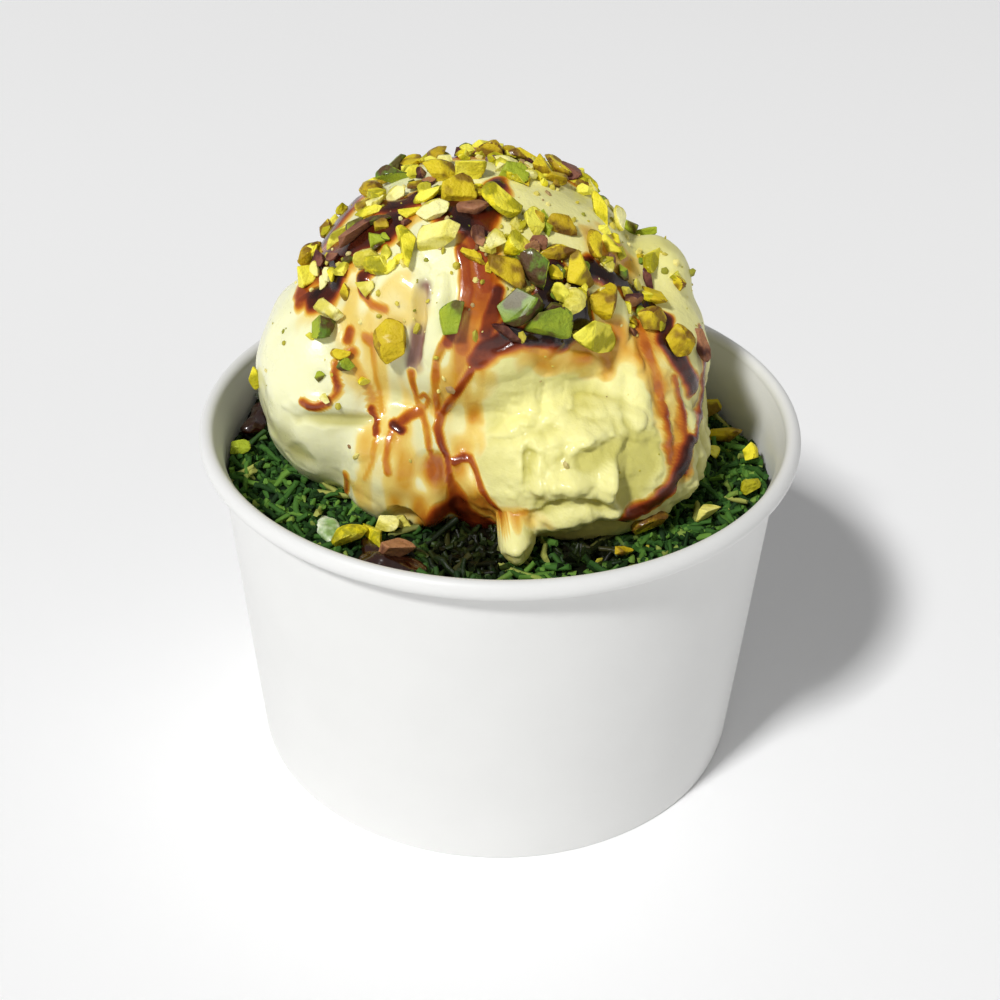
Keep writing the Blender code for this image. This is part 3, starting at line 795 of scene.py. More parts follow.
def crags(points):
    """The torn relief that a scoop leaves: deep on the front scoop, faint where it melts."""
    drawn = points * [0.6, 1, 1.5]
    rough = 0.6 * soft_noise(drawn, 7 * MM, 3) + 0.4 * soft_noise(drawn, 3.6 * MM, 4)
    across = points[:, 0] / (12 * MM)
    share = 0.35 + 0.65 / (1 + np.exp(-2.5 * across))
    return CRAG_DEPTH * share * rough * (0.35 + 0.65 * scooped(points))


def torn(points):
    """Drag marks down the front scoop, with creases between flat facets."""
    right_side = soft_step(points[:, 0], -6 * MM, 6 * MM)
    drawn = points * [1.0, 1.0, 0.35] + soft_noise(points, 6 * MM, 11)[:, None] * MM
    crease = (1 - np.abs(soft_noise(drawn, 4.2 * MM, 12))) ** 3
    fine_crease = (1 - np.abs(soft_noise(drawn * [1, 1, 1.6], 2.1 * MM, 18))) ** 4
    streaks = soft_noise(points * [1, 1, 0.2] + [0, 0, 0.3] * points[:, :1], 1.5 * MM, 14)
    low = 1 - soft_step(points[:, 2], CUP_HEIGHT - 5 * MM, CUP_HEIGHT + 3 * MM)
    flakes = soft_noise(points * [0.7, 1, 1.4], 1.2 * MM, 13) * (1 + 1.2 * low)
    return MM * right_side * scooped(points) * (
        0.25 - 0.7 * crease - 0.3 * fine_crease + 0.2 * flakes + 0.22 * streaks
    )


def melted(points):
    """Soft folds of the melting left side, and of the crown and the back."""
    left_side = 1 - soft_step(points[:, 0], -10 * MM, 2 * MM)
    smooth = np.maximum(left_side, 1 - scooped(points))
    folds = soft_noise(points * [1.3, 1.3, 0.45], 5 * MM, 17)
    folds += 0.6 * soft_noise(points * [0.5, 0.5, 1.4], 6 * MM, 15)
    return FOLD_DEPTH * folds * smooth


def lumped(points):
    """Lumps and hollows where they are seen."""
    total = np.zeros(len(points))
    ragged = 1 + 0.25 * soft_noise(points, 1.8 * MM, 19) + 0.2 * soft_noise(points, 4 * MM, 20)
    for spot, half, angle, height in LUMPS.values():
        offset = points - seen_on_gelato([spot])[0]
        along = math.cos(math.radians(angle)) * right + math.sin(math.radians(angle)) * top
        across = math.cos(math.radians(angle)) * top - math.sin(math.radians(angle)) * right
        reach = np.stack([offset @ along, offset @ across], 1) / (np.array(half) * PICTURE_POINT)
        far = np.linalg.norm(offset, axis=1) > 1.6 * max(half) * PICTURE_POINT
        profile = np.clip(1 - (np.linalg.norm(reach, axis=1) * ragged / 1.3) ** 2, 0, 1)
        total += np.where(far, 0, height * MM * profile)
    return total


# %% The gelato's mesh
def spread(count, weight, low, high):
    """Angles from low to high, closer together where their weight is greater."""
    fine = np.linspace(low, high, 2000)
    total = np.cumsum(weight(fine))
    return np.interp(np.linspace(total[0], total[-1], count), total, fine)


def above_the_bed(tilt):
    return np.where(tilt < 1.9, 1, 0.35)


def toward_the_front(turn):
    return 1 + 1.3 * soft_step(-np.sin(turn), -0.3, 0.4)


def gelato_directions():
    """Directions from the gelato's middle, closest together above the bed and at the front."""
    tilt = spread(GELATO_RINGS + 2, above_the_bed, 0, math.pi)[1:-1]
    turn = spread(GELATO_SIDES + 1, toward_the_front, -1.5 * math.pi, 0.5 * math.pi)[:-1]
    tilt, turn = np.meshgrid(tilt, turn, indexing="ij")
    rings = np.stack([np.sin(tilt) * np.cos(turn), np.sin(tilt) * np.sin(turn), np.cos(tilt)], -1)
    return np.vstack([rings.reshape(-1, 3), [(0, 0, 1)], [(0, 0, -1)]])


def gelato_mesh():
    outward = gelato_directions()
    surface = met_from_outside(outward)
    runs = thickness_over(surface, stream_paths(STREAMS) + stream_paths(BACK_RUNS, from_bearings))
    streaky = 0.85 + 0.9 * soft_noise(surface * [1, 1, 0.3], 2.0 * MM, 43)
    veils = thickness_over(surface, stream_paths(VEILS)) * np.clip(streaky, 0.3, 1.15)
    sunk = thickness_over(surface, stream_paths(SUNK_AND_SHADE))
    syrup = np.maximum(runs, veils)
    shown = np.clip((surface[:, 2] - (CUP_HEIGHT - BED_DEPTH)) / (3 * MM), 0, 1)
    flooded = 1 - RELIEF_UNDER_SYRUP * soft_step(runs, 0.2 * MM, 0.8 * MM)
    relief = (crags(surface) + torn(surface) + melted(surface)) * flooded
    relief += lumped(surface)
    surface = surface + outward * ((relief + SYRUP_RISE * runs) * shown)[:, None]
    rings = surface[:-2].reshape(GELATO_RINGS, GELATO_SIDES, 3)
    mesh = ringed_mesh("gelato", surface[-2], rings, surface[-1])
    order = np.concatenate([[len(syrup) - 2], np.arange(len(syrup) - 2), [len(syrup) - 1]])
    keep_number(mesh, "syrup", syrup[order] / MM)
    keep_number(mesh, "sunk", sunk[order] / MM)
    # How deep each point lies in a hollow of the relief, for the painted shade there.
    keep_number(mesh, "hollow", np.clip(-1.25 * relief[order] / MM, 0, 1))
    return mesh


# %% [markdown]
# Gelato is pale and slightly see-through, so light enters it and comes out soft: that is
# subsurface scattering, a fixed value on the shader. The syrup is coloured like a filter:
# the thicker it lies, the less light comes back, from straw through amber and red-brown to
# nearly black. It is also what shines, with a coat over the duller cream. Shade is painted
# into the hollows of the relief, where the cream turns a darker olive. A few places are
# marked where syrup sank under the cream, and the cream is a dull mauve there, which is
# partly painted shade.

# %% The gelato's finish
SYRUP_STOPS = [
    (0.00, colour(240, 234, 180)),
    (0.10, colour(230, 204, 112)),
    (0.22, colour(214, 160, 54)),
    (0.36, colour(190, 110, 30)),
    (0.52, colour(150, 64, 20)),
    (0.72, colour(88, 30, 12)),
    (1.00, colour(30, 9, 5)),
]


def gelato_finish():
    gelato = Finish(
        "gelato_cream", Subsurface_Weight=0.22, Subsurface_Radius=(0.9, 0.9, 0.4), Subsurface_Scale=0.9 * MM,
        IOR=1.42, Specular_IOR_Level=0.35, Coat_Roughness=0.07,
    )  # fmt: skip
    syrup = gelato.attribute("syrup")
    swirl = gelato.noise(2.2 * MM, detail=4, rough=0.6)
    thick = syrup * (0.72 + 0.56 * swirl)
    stained = gelato.add("ShaderNodeValToRGB", {"stops": SYRUP_STOPS}, {0: thick})
    side = gelato.add("ShaderNodeSeparateXYZ", None, {0: gelato.place}, output="X")
    cloud = gelato.noise(7 * MM, detail=3)
    smooth_cream = gelato.mix(cloud, colour(240, 240, 202), colour(233, 232, 180))
    torn_cream = gelato.mix(cloud, colour(240, 236, 170), colour(232, 226, 142))
    cream = gelato.mix(side.between(-14 * MM, 2 * MM), smooth_cream, torn_cream)
    # Painted shade: the cream darkens to olive in the hollows of the relief.
    shaded = gelato.mix(gelato.attribute("hollow") * 0.7, cream, colour(186, 178, 76))
    # Mauve where syrup sank under the cream, which is partly painted shade.
    mauve = gelato.mix(gelato.attribute("sunk"), shaded, colour(140, 104, 92))
    tint = gelato.mix(syrup.between(0.02, 0.10), mauve, stained)
    pores = gelato.noise(0.5 * MM, detail=5, rough=0.65)
    grain = gelato.noise(1.5 * MM, detail=4, rough=0.6)
    wet = syrup.between(0.08, 0.4)
    melt = 1 - side.between(-16 * MM, 0 * MM)
    dry = 1 - (wet + melt * 0.7).math("MINIMUM", 1.0)
    fine = gelato.bump(pores, 0.10 * MM, strength=0.5)
    relief = gelato.bump(grain * dry, 0.45 * MM, strength=0.6, under=fine)
    rough = 0.16 + 0.3 * dry + 0.06 * grain
    return gelato.paint(Base_Color=tint, Roughness=rough, Coat_Weight=0.55 - 0.45 * dry, Normal=relief)


gelato = add_piece("gelato_dressed", gelato_mesh(), gelato_finish())
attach(gelato, "root")
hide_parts("gelato_mound")
print("gelato:", len(gelato.data.polygons), "faces")

# %% [markdown]
# ## The bed of shredded pastry
#
# Kataifi is dough shredded into threads, here coloured green with pistachio. It is a heap
# of short strands, and nobody could place each by hand. So there are two layers: a core with
# a rough top that fills the cup, and loose strands that Geometry Nodes scatter over it.

# %% The bed's height
BED_HEAPS = np.array([(-36, 20, 2.8, 15), (-38, -8, 1.6, 14), (40, 18, -2.6, 15), (3, -28, -1.8, 6)]) * MM
SEAT_GAP = 0.8 * MM
GAP = 0.35 * MM


def on_level(flat):
    """Points at x, y with no height, for noise that depends on where on the bed they are."""
    return np.column_stack([flat, np.zeros(len(flat))])


def bed_height(places):
    """The height of the bed's core at each x, y."""
    height = np.full(len(places), CUP_HEIGHT - BED_DEPTH)
    for x, y, rise, width in BED_HEAPS:
        away = np.hypot(places[:, 0] - x, places[:, 1] - y)
        height += rise * np.exp(-((away / width) ** 2))
    return height + 0.5 * MM * soft_noise(on_level(places), 6 * MM, 8)


def seen_on_bed(picture_points):
    """Where each point of the picture meets the top of the bed."""
    eyes, lines = sight_lines(picture_points)
    places = eyes
    for _ in range(3):
        drop = bed_height(places[:, :2]) - eyes[:, 2]
        places = eyes + lines * (drop / lines[:, 2])[:, None]
    return places


def gelato_edge(turns, heights):
    """The gelato's edge in each direction from its middle at these heights, widened by a gap."""
    outward = np.stack([np.cos(turns), np.sin(turns), np.zeros_like(turns)], 1)
    middle = np.column_stack([np.tile(GELATO_MIDDLE[:2], (len(turns), 1)), heights])
    edge = march(middle + outward * 50 * MM, -outward)
    return edge[:, :2] + outward[:, :2] * SEAT_GAP


# %% The bed's core
BED_SIDES = 240
BED_STEPS = 26


def bed_top(flat):
    """The top of the core with its fine lumps."""
    spots = on_level(flat)
    lumps = 0.45 * soft_noise(spots, 2.4 * MM, 61) + 0.3 * soft_noise(spots, 1.1 * MM, 62)
    return bed_height(flat) + lumps * MM - 0.5 * MM


def bed_mesh():
    turns = np.linspace(0, 2 * math.pi, BED_SIDES, endpoint=False)
    away = np.stack([np.cos(turns), np.sin(turns)], 1)
    bottom = FLOOR_TOP + GAP
    wall_top = bed_height(away * (cup_inner_radius(CUP_HEIGHT - BED_DEPTH) - GAP)) - 0.4 * MM
    rings = []
    for share in (0, 0.33, 0.66, 1):
        height = bottom + (wall_top - bottom) * share
        rings.append(np.column_stack([away * (cup_inner_radius(height) - GAP)[:, None], height]))
    rim = rings[-1][:, :2]
    seat_bottom = CUP_HEIGHT - GELATO_SINK - GAP
    mouth = gelato_edge(turns, np.full(BED_SIDES, CUP_HEIGHT - BED_DEPTH))
    for share in np.linspace(0, 1, BED_STEPS + 1)[1:]:
        flat = rim + (mouth - rim) * share
        rings.append(np.column_stack([flat, bed_top(flat)]))
    drop = bed_top(mouth) - seat_bottom
    for share in (0.5, 0.15, 0):
        height = seat_bottom + drop * share
        rings.append(np.column_stack([gelato_edge(turns, height + 0.5 * MM), height]))
    return ringed_mesh("kataifi_core", (0, 0, bottom), np.array(rings), (*GELATO_MIDDLE[:2], seat_bottom))


# %% [markdown]
# Syrup has soaked the bed at the back left and at the front, and the threads are darker
# there. Under the gelato's front edge the same darkening is painted shadow. How dark each
# point is goes on the mesh as a number, and the strands that grow on it inherit the number.

# %% How soaked the bed is, and where shade is painted on it
# The back left and front left spots are soaked with syrup. The front spot is soaked and also painted shadow
# under the gelato's edge, and the spot under the right is painted shadow under the ledge.
SOAK_AND_SHADE = {
    "front": ((468, 548), 10 * MM),
    "front_left": ((395, 552), 6 * MM),
    "under_right": ((590, 548), 7 * MM),
    "back_left": ((246, 415), 10 * MM),
}


def soak_and_shade_at(points):
    """0 where the pastry is dry, 1 where it is full of syrup and where shade is painted under the gelato's
    edge.
    """
    spots = seen_on_bed([spot for spot, _ in SOAK_AND_SHADE.values()])
    total = np.zeros(len(points))
    for spot, (_, reach) in zip(spots, SOAK_AND_SHADE.values()):
        away = np.linalg.norm(points[:, :2] - spot[:2], axis=1) * (1 + 0.3 * soft_noise(points, 5 * MM, 63))
        total = np.maximum(total, 1 - soft_step(away, 0.55 * reach, reach))
    return total


def points_of(mesh):
    flat = np.empty(3 * len(mesh.vertices))
    mesh.vertices.foreach_get("co", flat)
    return flat.reshape(-1, 3)


PASTRY_STOPS = [
    (0.00, colour(10, 24, 8)),
    (0.35, colour(32, 64, 22)),
    (0.70, colour(62, 104, 38)),
    (0.90, colour(104, 144, 54)),
    (1.00, colour(164, 168, 84)),
]


def pastry_finish(name, shade):
    """Dull baked threads: green that varies from strand to strand and is scaled by shade, nearly black where
    soaked and where shade is painted.
    """
    pastry = Finish(name, IOR=1.4, Specular_IOR_Level=0.3, Roughness=0.7)
    tone = pastry.attribute("tone")
    patch = pastry.noise(5 * MM, detail=2)
    fibre = pastry.noise(0.35 * MM, detail=3, rough=0.6)
    green = pastry.add("ShaderNodeValToRGB", {"stops": PASTRY_STOPS}, {0: (tone * 0.8 + patch * 0.3) * shade})
    soaked = pastry.attribute("soaked")
    # Darker where syrup soaked the pastry, and painted shadow under the gelato's front edge.
    tint = pastry.mix(soaked * 0.92, green, colour(16, 12, 6))
    relief = pastry.bump(fibre, 0.12 * MM, strength=0.8)
    return pastry.paint(Base_Color=tint, Roughness=0.75 - 0.35 * soaked, Normal=relief)


core_mesh = bed_mesh()
# The soak number also carries the painted shadow under the gelato's front edge.
keep_number(core_mesh, "soaked", soak_and_shade_at(points_of(core_mesh)))
# The core's green is scaled down to nearly black: painted shade for the depths of the heap between the
# strands.
bed = add_piece("kataifi_core", core_mesh, pastry_finish("pastry_core", 0.25))
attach(bed, "root")
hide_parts("kataifi_bed")
print("bed core:", len(core_mesh.polygons), "faces")

# %% [markdown]
# ## Loose strands with Geometry Nodes
#
# Each strand could be a curve object, but three thousand are slow and tedious. One node
# tree does it: scatter points on the top of the core, put a straight line on each with a
# random direction and length, bend all lines with one noise field, and wrap them in a thin
# tube. One more rule keeps the strands off the cup's wall, and a finer noise makes the tubes
# lumpy.


# %% Helpers for Geometry Nodes
class GeometryTree(Graph):
    """A geometry node tree with named inputs."""

    def __init__(self, name, inputs):
        tree = bpy.data.node_groups.new(name, "GeometryNodeTree")
        super().__init__(tree)
        tree.interface.new_socket("Geometry", in_out="INPUT", socket_type="NodeSocketGeometry")
        tree.interface.new_socket("Geometry", in_out="OUTPUT", socket_type="NodeSocketGeometry")
        for title, kind in inputs.items():
            tree.interface.new_socket(title, in_out="INPUT", socket_type="NodeSocket" + kind)
        self.given = self.add("NodeGroupInput")

    def input(self, name):
        return self.given.other(name)

    def finish(self, geometry):
        """Ends the tree in real meshes with their material."""
        real = self.add("GeometryNodeRealizeInstances", None, {0: geometry})
        sockets = {"Geometry": real, "Material": self.input("Material")}
        self.add("NodeGroupOutput", None, {0: self.add("GeometryNodeSetMaterial", None, sockets)})

    def random(self, low, high, seed):
        """A random number between two, another for each element."""
        sockets = {2: low, 3: high, "Seed": seed}
        return self.add("FunctionNodeRandomValue", {"data_type": "FLOAT"}, sockets, output=1)

    def vector(self, x, y, z):
        return self.add("ShaderNodeCombineXYZ", None, {0: x, 1: y, 2: z})

    def scattered(self, density, tone_seed):
        """Points at random on the given mesh, each with a tone of its own."""
        sockets = {"Mesh": self.input("Geometry"), "Density": density, "Seed": self.input("Seed")}
        points = self.add("GeometryNodeDistributePointsOnFaces", None, sockets)
        sockets = {"Geometry": points, "Name": "tone", "Value": self.random(0.0, 1.0, tone_seed)}
        settings = {"data_type": "FLOAT", "domain": "POINT"}
        return self.add("GeometryNodeStoreNamedAttribute", settings, sockets)

    def instances(self, points, instance, **sockets):
        """One instance at each point, with sockets such as its rotation and scale."""
        given = {"Points": points, "Instance": instance}
        given.update({name.replace("_", " "): value for name, value in sockets.items()})
        return self.add("GeometryNodeInstanceOnPoints", None, given)

    def noise_push(self, wavelength, amount):
        """How far one noise field pushes each point along x, y and z."""
        place = self.add("GeometryNodeInputPosition")
        sockets = {"Vector": place, "Scale": 1 / wavelength, "Detail": 1.0}
        field = self.add("ShaderNodeTexNoise", None, sockets, output="Color")
        parts = self.add("ShaderNodeSeparateXYZ", None, {0: field})
        return [(part - 0.5) * amount for part in (parts, parts.other("Y"), parts.other("Z"))]


def grown(name, tree, ground, settings):
    """Runs a tree on a mesh, and makes a plain mesh piece of what it gives."""
    carrier = bpy.data.objects.new(name, ground)
    bpy.context.scene.collection.objects.link(carrier)
    modifier = carrier.modifiers.new("grow", "NODES")
    modifier.node_group = tree.tree
    for item in tree.tree.interface.items_tree:
        if item.in_out == "INPUT" and item.name in settings:
            modifier[item.identifier] = settings[item.name]
    graph = bpy.context.evaluated_depsgraph_get()
    mesh = bpy.data.meshes.new_from_object(carrier.evaluated_get(graph))
    carrier.modifiers.remove(modifier)
    carrier.data = mesh
    if not mesh.materials:
        mesh.materials.append(settings["Material"])
    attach(carrier, "root")
    return carrier


# %% The strand tree
STRAND_SIZES = ("Density", "Shortest", "Longest", "Thickness", "Bend", "Tilt", "Rise", "Crumble")
STRAND_POINTS = 5
BEND_WAVE = 3 * MM
CRUMBLE_WAVE = 0.9 * MM


def strand_lines(tree):
    """A straight line at each point, of random length and direction."""
    line = tree.add("GeometryNodeCurvePrimitiveLine", None, {"Start": (-0.5, 0, 0), "End": (0.5, 0, 0)})
    fine_line = tree.add("GeometryNodeResampleCurve", None, {"Curve": line, "Count": STRAND_POINTS})
    share = tree.random(0.0, 1.0, 3)
    length = tree.input("Shortest") + (tree.input("Longest") - tree.input("Shortest")) * share * share
    tilt = tree.input("Tilt") * tree.random(-1.0, 1.0, 4)
    turn = tree.vector(0.0, tilt, tree.random(0.0, 2 * math.pi, 5))
    points = tree.scattered(tree.input("Density"), 7)
    lines = tree.instances(points, fine_line, Rotation=turn, Scale=tree.vector(length, length, length))
    return tree.add("GeometryNodeRealizeInstances", None, {0: lines})


def strand_bend(tree):
    """One noise field bends every strand, and all are lifted a little."""
    x, y, z = tree.noise_push(BEND_WAVE, tree.input("Bend"))
    return tree.vector(x, y, z + tree.input("Rise"))


def strand_tree():
    inputs = {**{size: "Float" for size in STRAND_SIZES}, "Seed": "Int", "Material": "Material"}
    tree = GeometryTree("strands", inputs)
    sockets = {"Geometry": strand_lines(tree), "Offset": strand_bend(tree)}
    bent = tree.add("GeometryNodeSetPosition", None, sockets)
    kept_in = tree.add("GeometryNodeSetPosition", None, {"Geometry": bent, "Position": inside_wall(tree)})
    sockets = {"Resolution": 5, "Radius": tree.input("Thickness") / 2}
    ring = tree.add("GeometryNodeCurvePrimitiveCircle", None, sockets)
    sockets = {"Curve": kept_in, "Profile Curve": ring, "Fill Caps": True}
    tubes = tree.add("GeometryNodeCurveToMesh", None, sockets)
    lumpy = tree.vector(*tree.noise_push(CRUMBLE_WAVE, tree.input("Crumble")))
    crumbled = tree.add("GeometryNodeSetPosition", None, {"Geometry": tubes, "Offset": lumpy})
    tree.finish(tree.add("GeometryNodeSetShadeSmooth", None, {0: crumbled}))
    return tree


def inside_wall(tree):
    """Each point's place, pulled in where it would pass the cup's wall."""
    place = tree.add("ShaderNodeSeparateXYZ", None, {0: tree.add("GeometryNodeInputPosition")})
    x, y, z = place, place.other("Y"), place.other("Z")
    radius = (x * x + y * y).math("SQRT")
    taper = (WALL_TOP_RADIUS - BASE_RADIUS) / (CUP_HEIGHT - ROLL_HEIGHT)
    limit = BASE_RADIUS + z * taper - WALL - tree.input("Thickness") / 2 - tree.input("Crumble") / 2
    keep = (limit / radius).math("MINIMUM", 1.0)
    return tree.vector(x * keep, y * keep, z)


# %% Where strands may grow
SAUCES = {
    "dark_sauce": (154, 39.6 * MM, 3.2 * MM, 8.5 * MM, 2.6 * MM),
    "sauce_film_left": (167, 41.2 * MM, 2.4 * MM, 7.0 * MM, 1.7 * MM),
    "sauce_film_front": (240, 34.2 * MM, 3.2 * MM, 5.2 * MM, 1.7 * MM),
}


def sauce_axes(turn):
    """The directions across and along a pool of sauce, which follows the cup's wall."""
    outward = np.array([math.cos(math.radians(turn)), math.sin(math.radians(turn))])
    return outward, np.array([-outward[1], outward[0]])


def in_sauce(place):
    """Whether a place on the bed is under one of the pools."""
    for turn, radius, half_across, half_along, _ in SAUCES.values():
        outward, sideways = sauce_axes(turn)
        offset = np.array(place[:2]) - radius * outward
        if math.hypot(offset @ outward / half_across, offset @ sideways / half_along) < 1.1:
            return True
    return False


def bed_ground(name, chosen):
    """The part of the bed's core that a rule chooses, as a mesh of its own."""
    mesh = core_mesh.copy()
    mesh.name = name
    bm = bmesh.new()
    bm.from_mesh(mesh)
    unwanted = [face for face in bm.faces if not chosen(face)]
    bmesh.ops.delete(bm, geom=unwanted, context="FACES")
    bm.to_mesh(mesh)
    bm.free()
    return mesh


def on_top(face):
    """Whether a face of the core is open to the air, and not under one of the sauces."""
    middle = face.calc_center_median()
    return face.normal.z > 0.35 and middle.z > CUP_HEIGHT - BED_DEPTH - 4 * MM and not in_sauce(middle)


pastry = pastry_finish("pastry_strands", 1.0)
bright_pastry = pastry_finish("pastry_long_strands", 1.25)
tree = strand_tree()
short = {
    "Density": 950000.0, "Shortest": 1.3 * MM, "Longest": 5.0 * MM, "Thickness": 0.85 * MM, "Bend": 2.6 * MM,
    "Tilt": 0.9, "Rise": 0.25 * MM, "Crumble": 1.15 * MM, "Seed": 3, "Material": pastry,
}  # fmt: skip
long = {
    **short, "Density": 42000.0, "Shortest": 4 * MM, "Longest": 10 * MM, "Thickness": 0.95 * MM,
    "Rise": 1.0 * MM, "Tilt": 0.4, "Bend": 1.8 * MM, "Seed": 9, "Material": bright_pastry,
}  # fmt: skip
short_strands = grown("kataifi_strands", tree, bed_ground("top_ground", on_top), short)
long_strands = grown("kataifi_long_strands", tree, bed_ground("top_ground_long", on_top), long)
print("strands:", len(short_strands.data.polygons), "and", len(long_strands.data.polygons), "faces")

# %% [markdown]
# ## Chopped nuts
#
# A pistachio is an oval kernel in a thin purple and green skin, and its flesh is yellow to
# green. The knife leaves flat faces with keen edges. So a chip starts as a fine ball, and a
# bisect along a random plane takes a slice off, four to seven times. The faces that a slice
# leaves are marked with a number, because cut flesh and skin differ in colour and gloss.

# %% Shapes of nut
NUT_SHAPES = 14
NUT_CUTS = (5, 6, 4, 7, 5)
NUT_CUT_REACH = (0.1, 0.27)
NUT_EDGE = 0.025
NUT_CORNER = math.radians(25)
NUT_SHARP = math.radians(32)


def nut_shape(index, draw):
    """A kernel half a unit in radius, with a few flat strokes of the knife."""
    bm = bmesh.new()
    bmesh.ops.create_icosphere(bm, subdivisions=4, radius=0.5)
    flesh = bm.faces.layers.float.new("cut")
    for _ in range(NUT_CUTS[index % len(NUT_CUTS)]):
        plane = Vector(draw.normal(size=3)).normalized()
        whole = bm.verts[:] + bm.edges[:] + bm.faces[:]
        halved = bmesh.ops.bisect_plane(
            bm, geom=whole, plane_co=plane * draw.uniform(*NUT_CUT_REACH), plane_no=plane, clear_outer=True
        )
        lip = [item for item in halved["geom_cut"] if isinstance(item, bmesh.types.BMEdge)]
        for face in bmesh.ops.holes_fill(bm, edges=lip, sides=0)["faces"]:
            face[flesh] = 1
    corners = [edge for edge in bm.edges if edge.is_manifold and edge.calc_face_angle() > NUT_CORNER]
    bmesh.ops.bevel(bm, geom=corners, offset=NUT_EDGE, segments=1, affect="EDGES", profile=0.5)
    bmesh.ops.triangulate(bm, faces=bm.faces)
    mesh = bpy.data.meshes.new(f"nut_shape_{index}")
    bm.to_mesh(mesh)
    bm.free()
    points = points_of(mesh)
    coarse, fine = soft_noise(points, 0.35, index), soft_noise(points, 0.14, index + 40)
    points *= 1 + 0.09 * coarse[:, None] + 0.05 * fine[:, None]
    points /= np.ptp(points, axis=0)
    points -= (points.max(0) + points.min(0)) / 2
    mesh.vertices.foreach_set("co", points.ravel())
    mesh.shade_smooth()
    mesh.set_sharp_from_angle(angle=NUT_SHARP)
    return mesh


# %% [markdown]
# The nuts that the eye knows the cup by are placed one by one: where each is seen, how long
# and wide it looks, and which way it points. Small chips are drawn at random in patches
# between them, but not where the cream is bare, and a few more lie behind the crown, where
# the picture doesn't show.

# %% Where the nuts lie
NUTS = {
    "green": [
        (397, 181, 38, 20, 10), (380, 225, 28, 10, -20), (325, 331, 24, 22, 60), (346, 365, 16, 12, 0),
        (451, 315, 36, 22, 60), (513, 178, 26, 16, -15), (543, 225, 27, 9, 85), (537, 271, 36, 28, -60),
        (519, 306, 42, 32, 15), (546, 322, 40, 26, -5),
    ],
    "yellow": [
        (374, 188, 22, 14, -20), (380, 201, 22, 18, -60), (489, 154, 30, 22, 10), (474, 179, 32, 26, -45),
        (431, 199, 28, 12, 25), (372, 215, 26, 9, 0), (411, 216, 20, 9, 5), (333, 227, 24, 13, 70),
        (342, 236, 38, 14, 22), (312, 280, 26, 22, 20), (385, 267, 26, 20, -30), (411, 248, 48, 20, -52),
        (499, 211, 36, 30, 15), (530, 224, 28, 20, 60), (515, 245, 26, 22, 20), (587, 181, 30, 18, -40),
        (598, 213, 38, 14, -70), (608, 248, 24, 14, -50), (590, 334, 50, 28, -28), (650, 262, 34, 16, 75),
        (257, 377, 22, 12, 70),
    ],
    "pale": [
        (507, 167, 26, 14, -25), (328, 283, 18, 10, 70), (373, 258, 30, 20, -10), (443, 239, 42, 26, 35),
        (332, 311, 28, 20, 0), (604, 267, 14, 9, -15), (566, 302, 26, 20, 40), (525, 291, 26, 9, 0),
        (399, 197, 22, 13, 0), (437, 216, 30, 16, 0), (494, 240, 20, 18, 0),
    ],
    "olive": [
        (441, 177, 35, 22, 10), (457, 196, 32, 23, 10), (316, 258, 28, 19, 15), (521, 155, 28, 14, 10),
        (541, 175, 28, 20, 5), (562, 229, 30, 18, -20), (560, 252, 38, 18, 10), (590, 250, 26, 18, -60),
        (573, 276, 36, 24, -25), (600, 297, 34, 24, 60), (508, 270, 42, 24, -50), (397, 339, 38, 27, 80),
        (651, 298, 28, 16, -20), (650, 323, 28, 21, 0), (675, 343, 30, 23, -60), (475, 257, 26, 9, -30),
    ],
    "skin": [
        (467, 159, 24, 14, 0), (572, 166, 24, 18, 0), (529, 248, 16, 15, 0), (478, 240, 22, 14, -60),
        (363, 235, 45, 14, 15), (472, 213, 28, 16, 20), (647, 281, 24, 9, -50), (628, 298, 28, 14, -15),
        (697, 345, 34, 11, -75), (338, 260, 16, 10, 0), (505, 331, 30, 10, -25),
    ],
}
BED_NUTS = {
    "green": [(241, 457, 20, 12, 10)],
    "yellow": [(759, 462, 28, 16, 80), (749, 497, 22, 14, 60), (350, 547, 34, 22, 30),
               (375, 545, 36, 14, -75), (712, 461, 24, 14, 75)],
    "pale": [(706, 523, 26, 16, 40), (400, 531, 22, 13, -60), (388, 534, 22, 13, -30)],
    "olive": [(724, 444, 32, 18, 0), (648, 534, 36, 26, 30), (623, 560, 18, 9, 20), (694, 462, 28, 12, 80),
              (708, 420, 26, 20, 60)],
    "skin": [(397, 562, 34, 22, 0)],
}  # fmt: skip
BACK_NUTS = {"green": 8, "yellow": 18, "pale": 7, "olive": 13, "skin": 6}
CHIP_PATCHES = {
    "crown": ((490, 180), (112, 24), 44),
    "left_slope": ((356, 246), (58, 46), 28),
    "middle": ((556, 268), (80, 52), 38),
    "right_slope": ((650, 300), (40, 48), 14),
    "low_left": ((330, 340), (50, 60), 5),
}
CHIP_SHARES = {"green": 0.17, "yellow": 0.40, "pale": 0.15, "olive": 0.22, "skin": 0.06}
CHIP_LENGTHS = (9, 19)
BARE_CREAM = [((530, 200), (38, 16)), ((578, 228), (20, 14)), ((398, 197), (14, 9)), ((430, 216), (18, 10))]
NUT_HEIGHT_SHARE = 0.88
NUT_FULLNESS = 1.04
NUT_LIFT = 0.3
NUT_TILT = 0.22
LEAST_NUT = 1.1 * MM
BACK_TURNS = (0.15, math.pi - 0.15)
BACK_TILTS = (0.25, 0.45, 1.25)
BACK_LENGTHS = (2.4, 6.0)


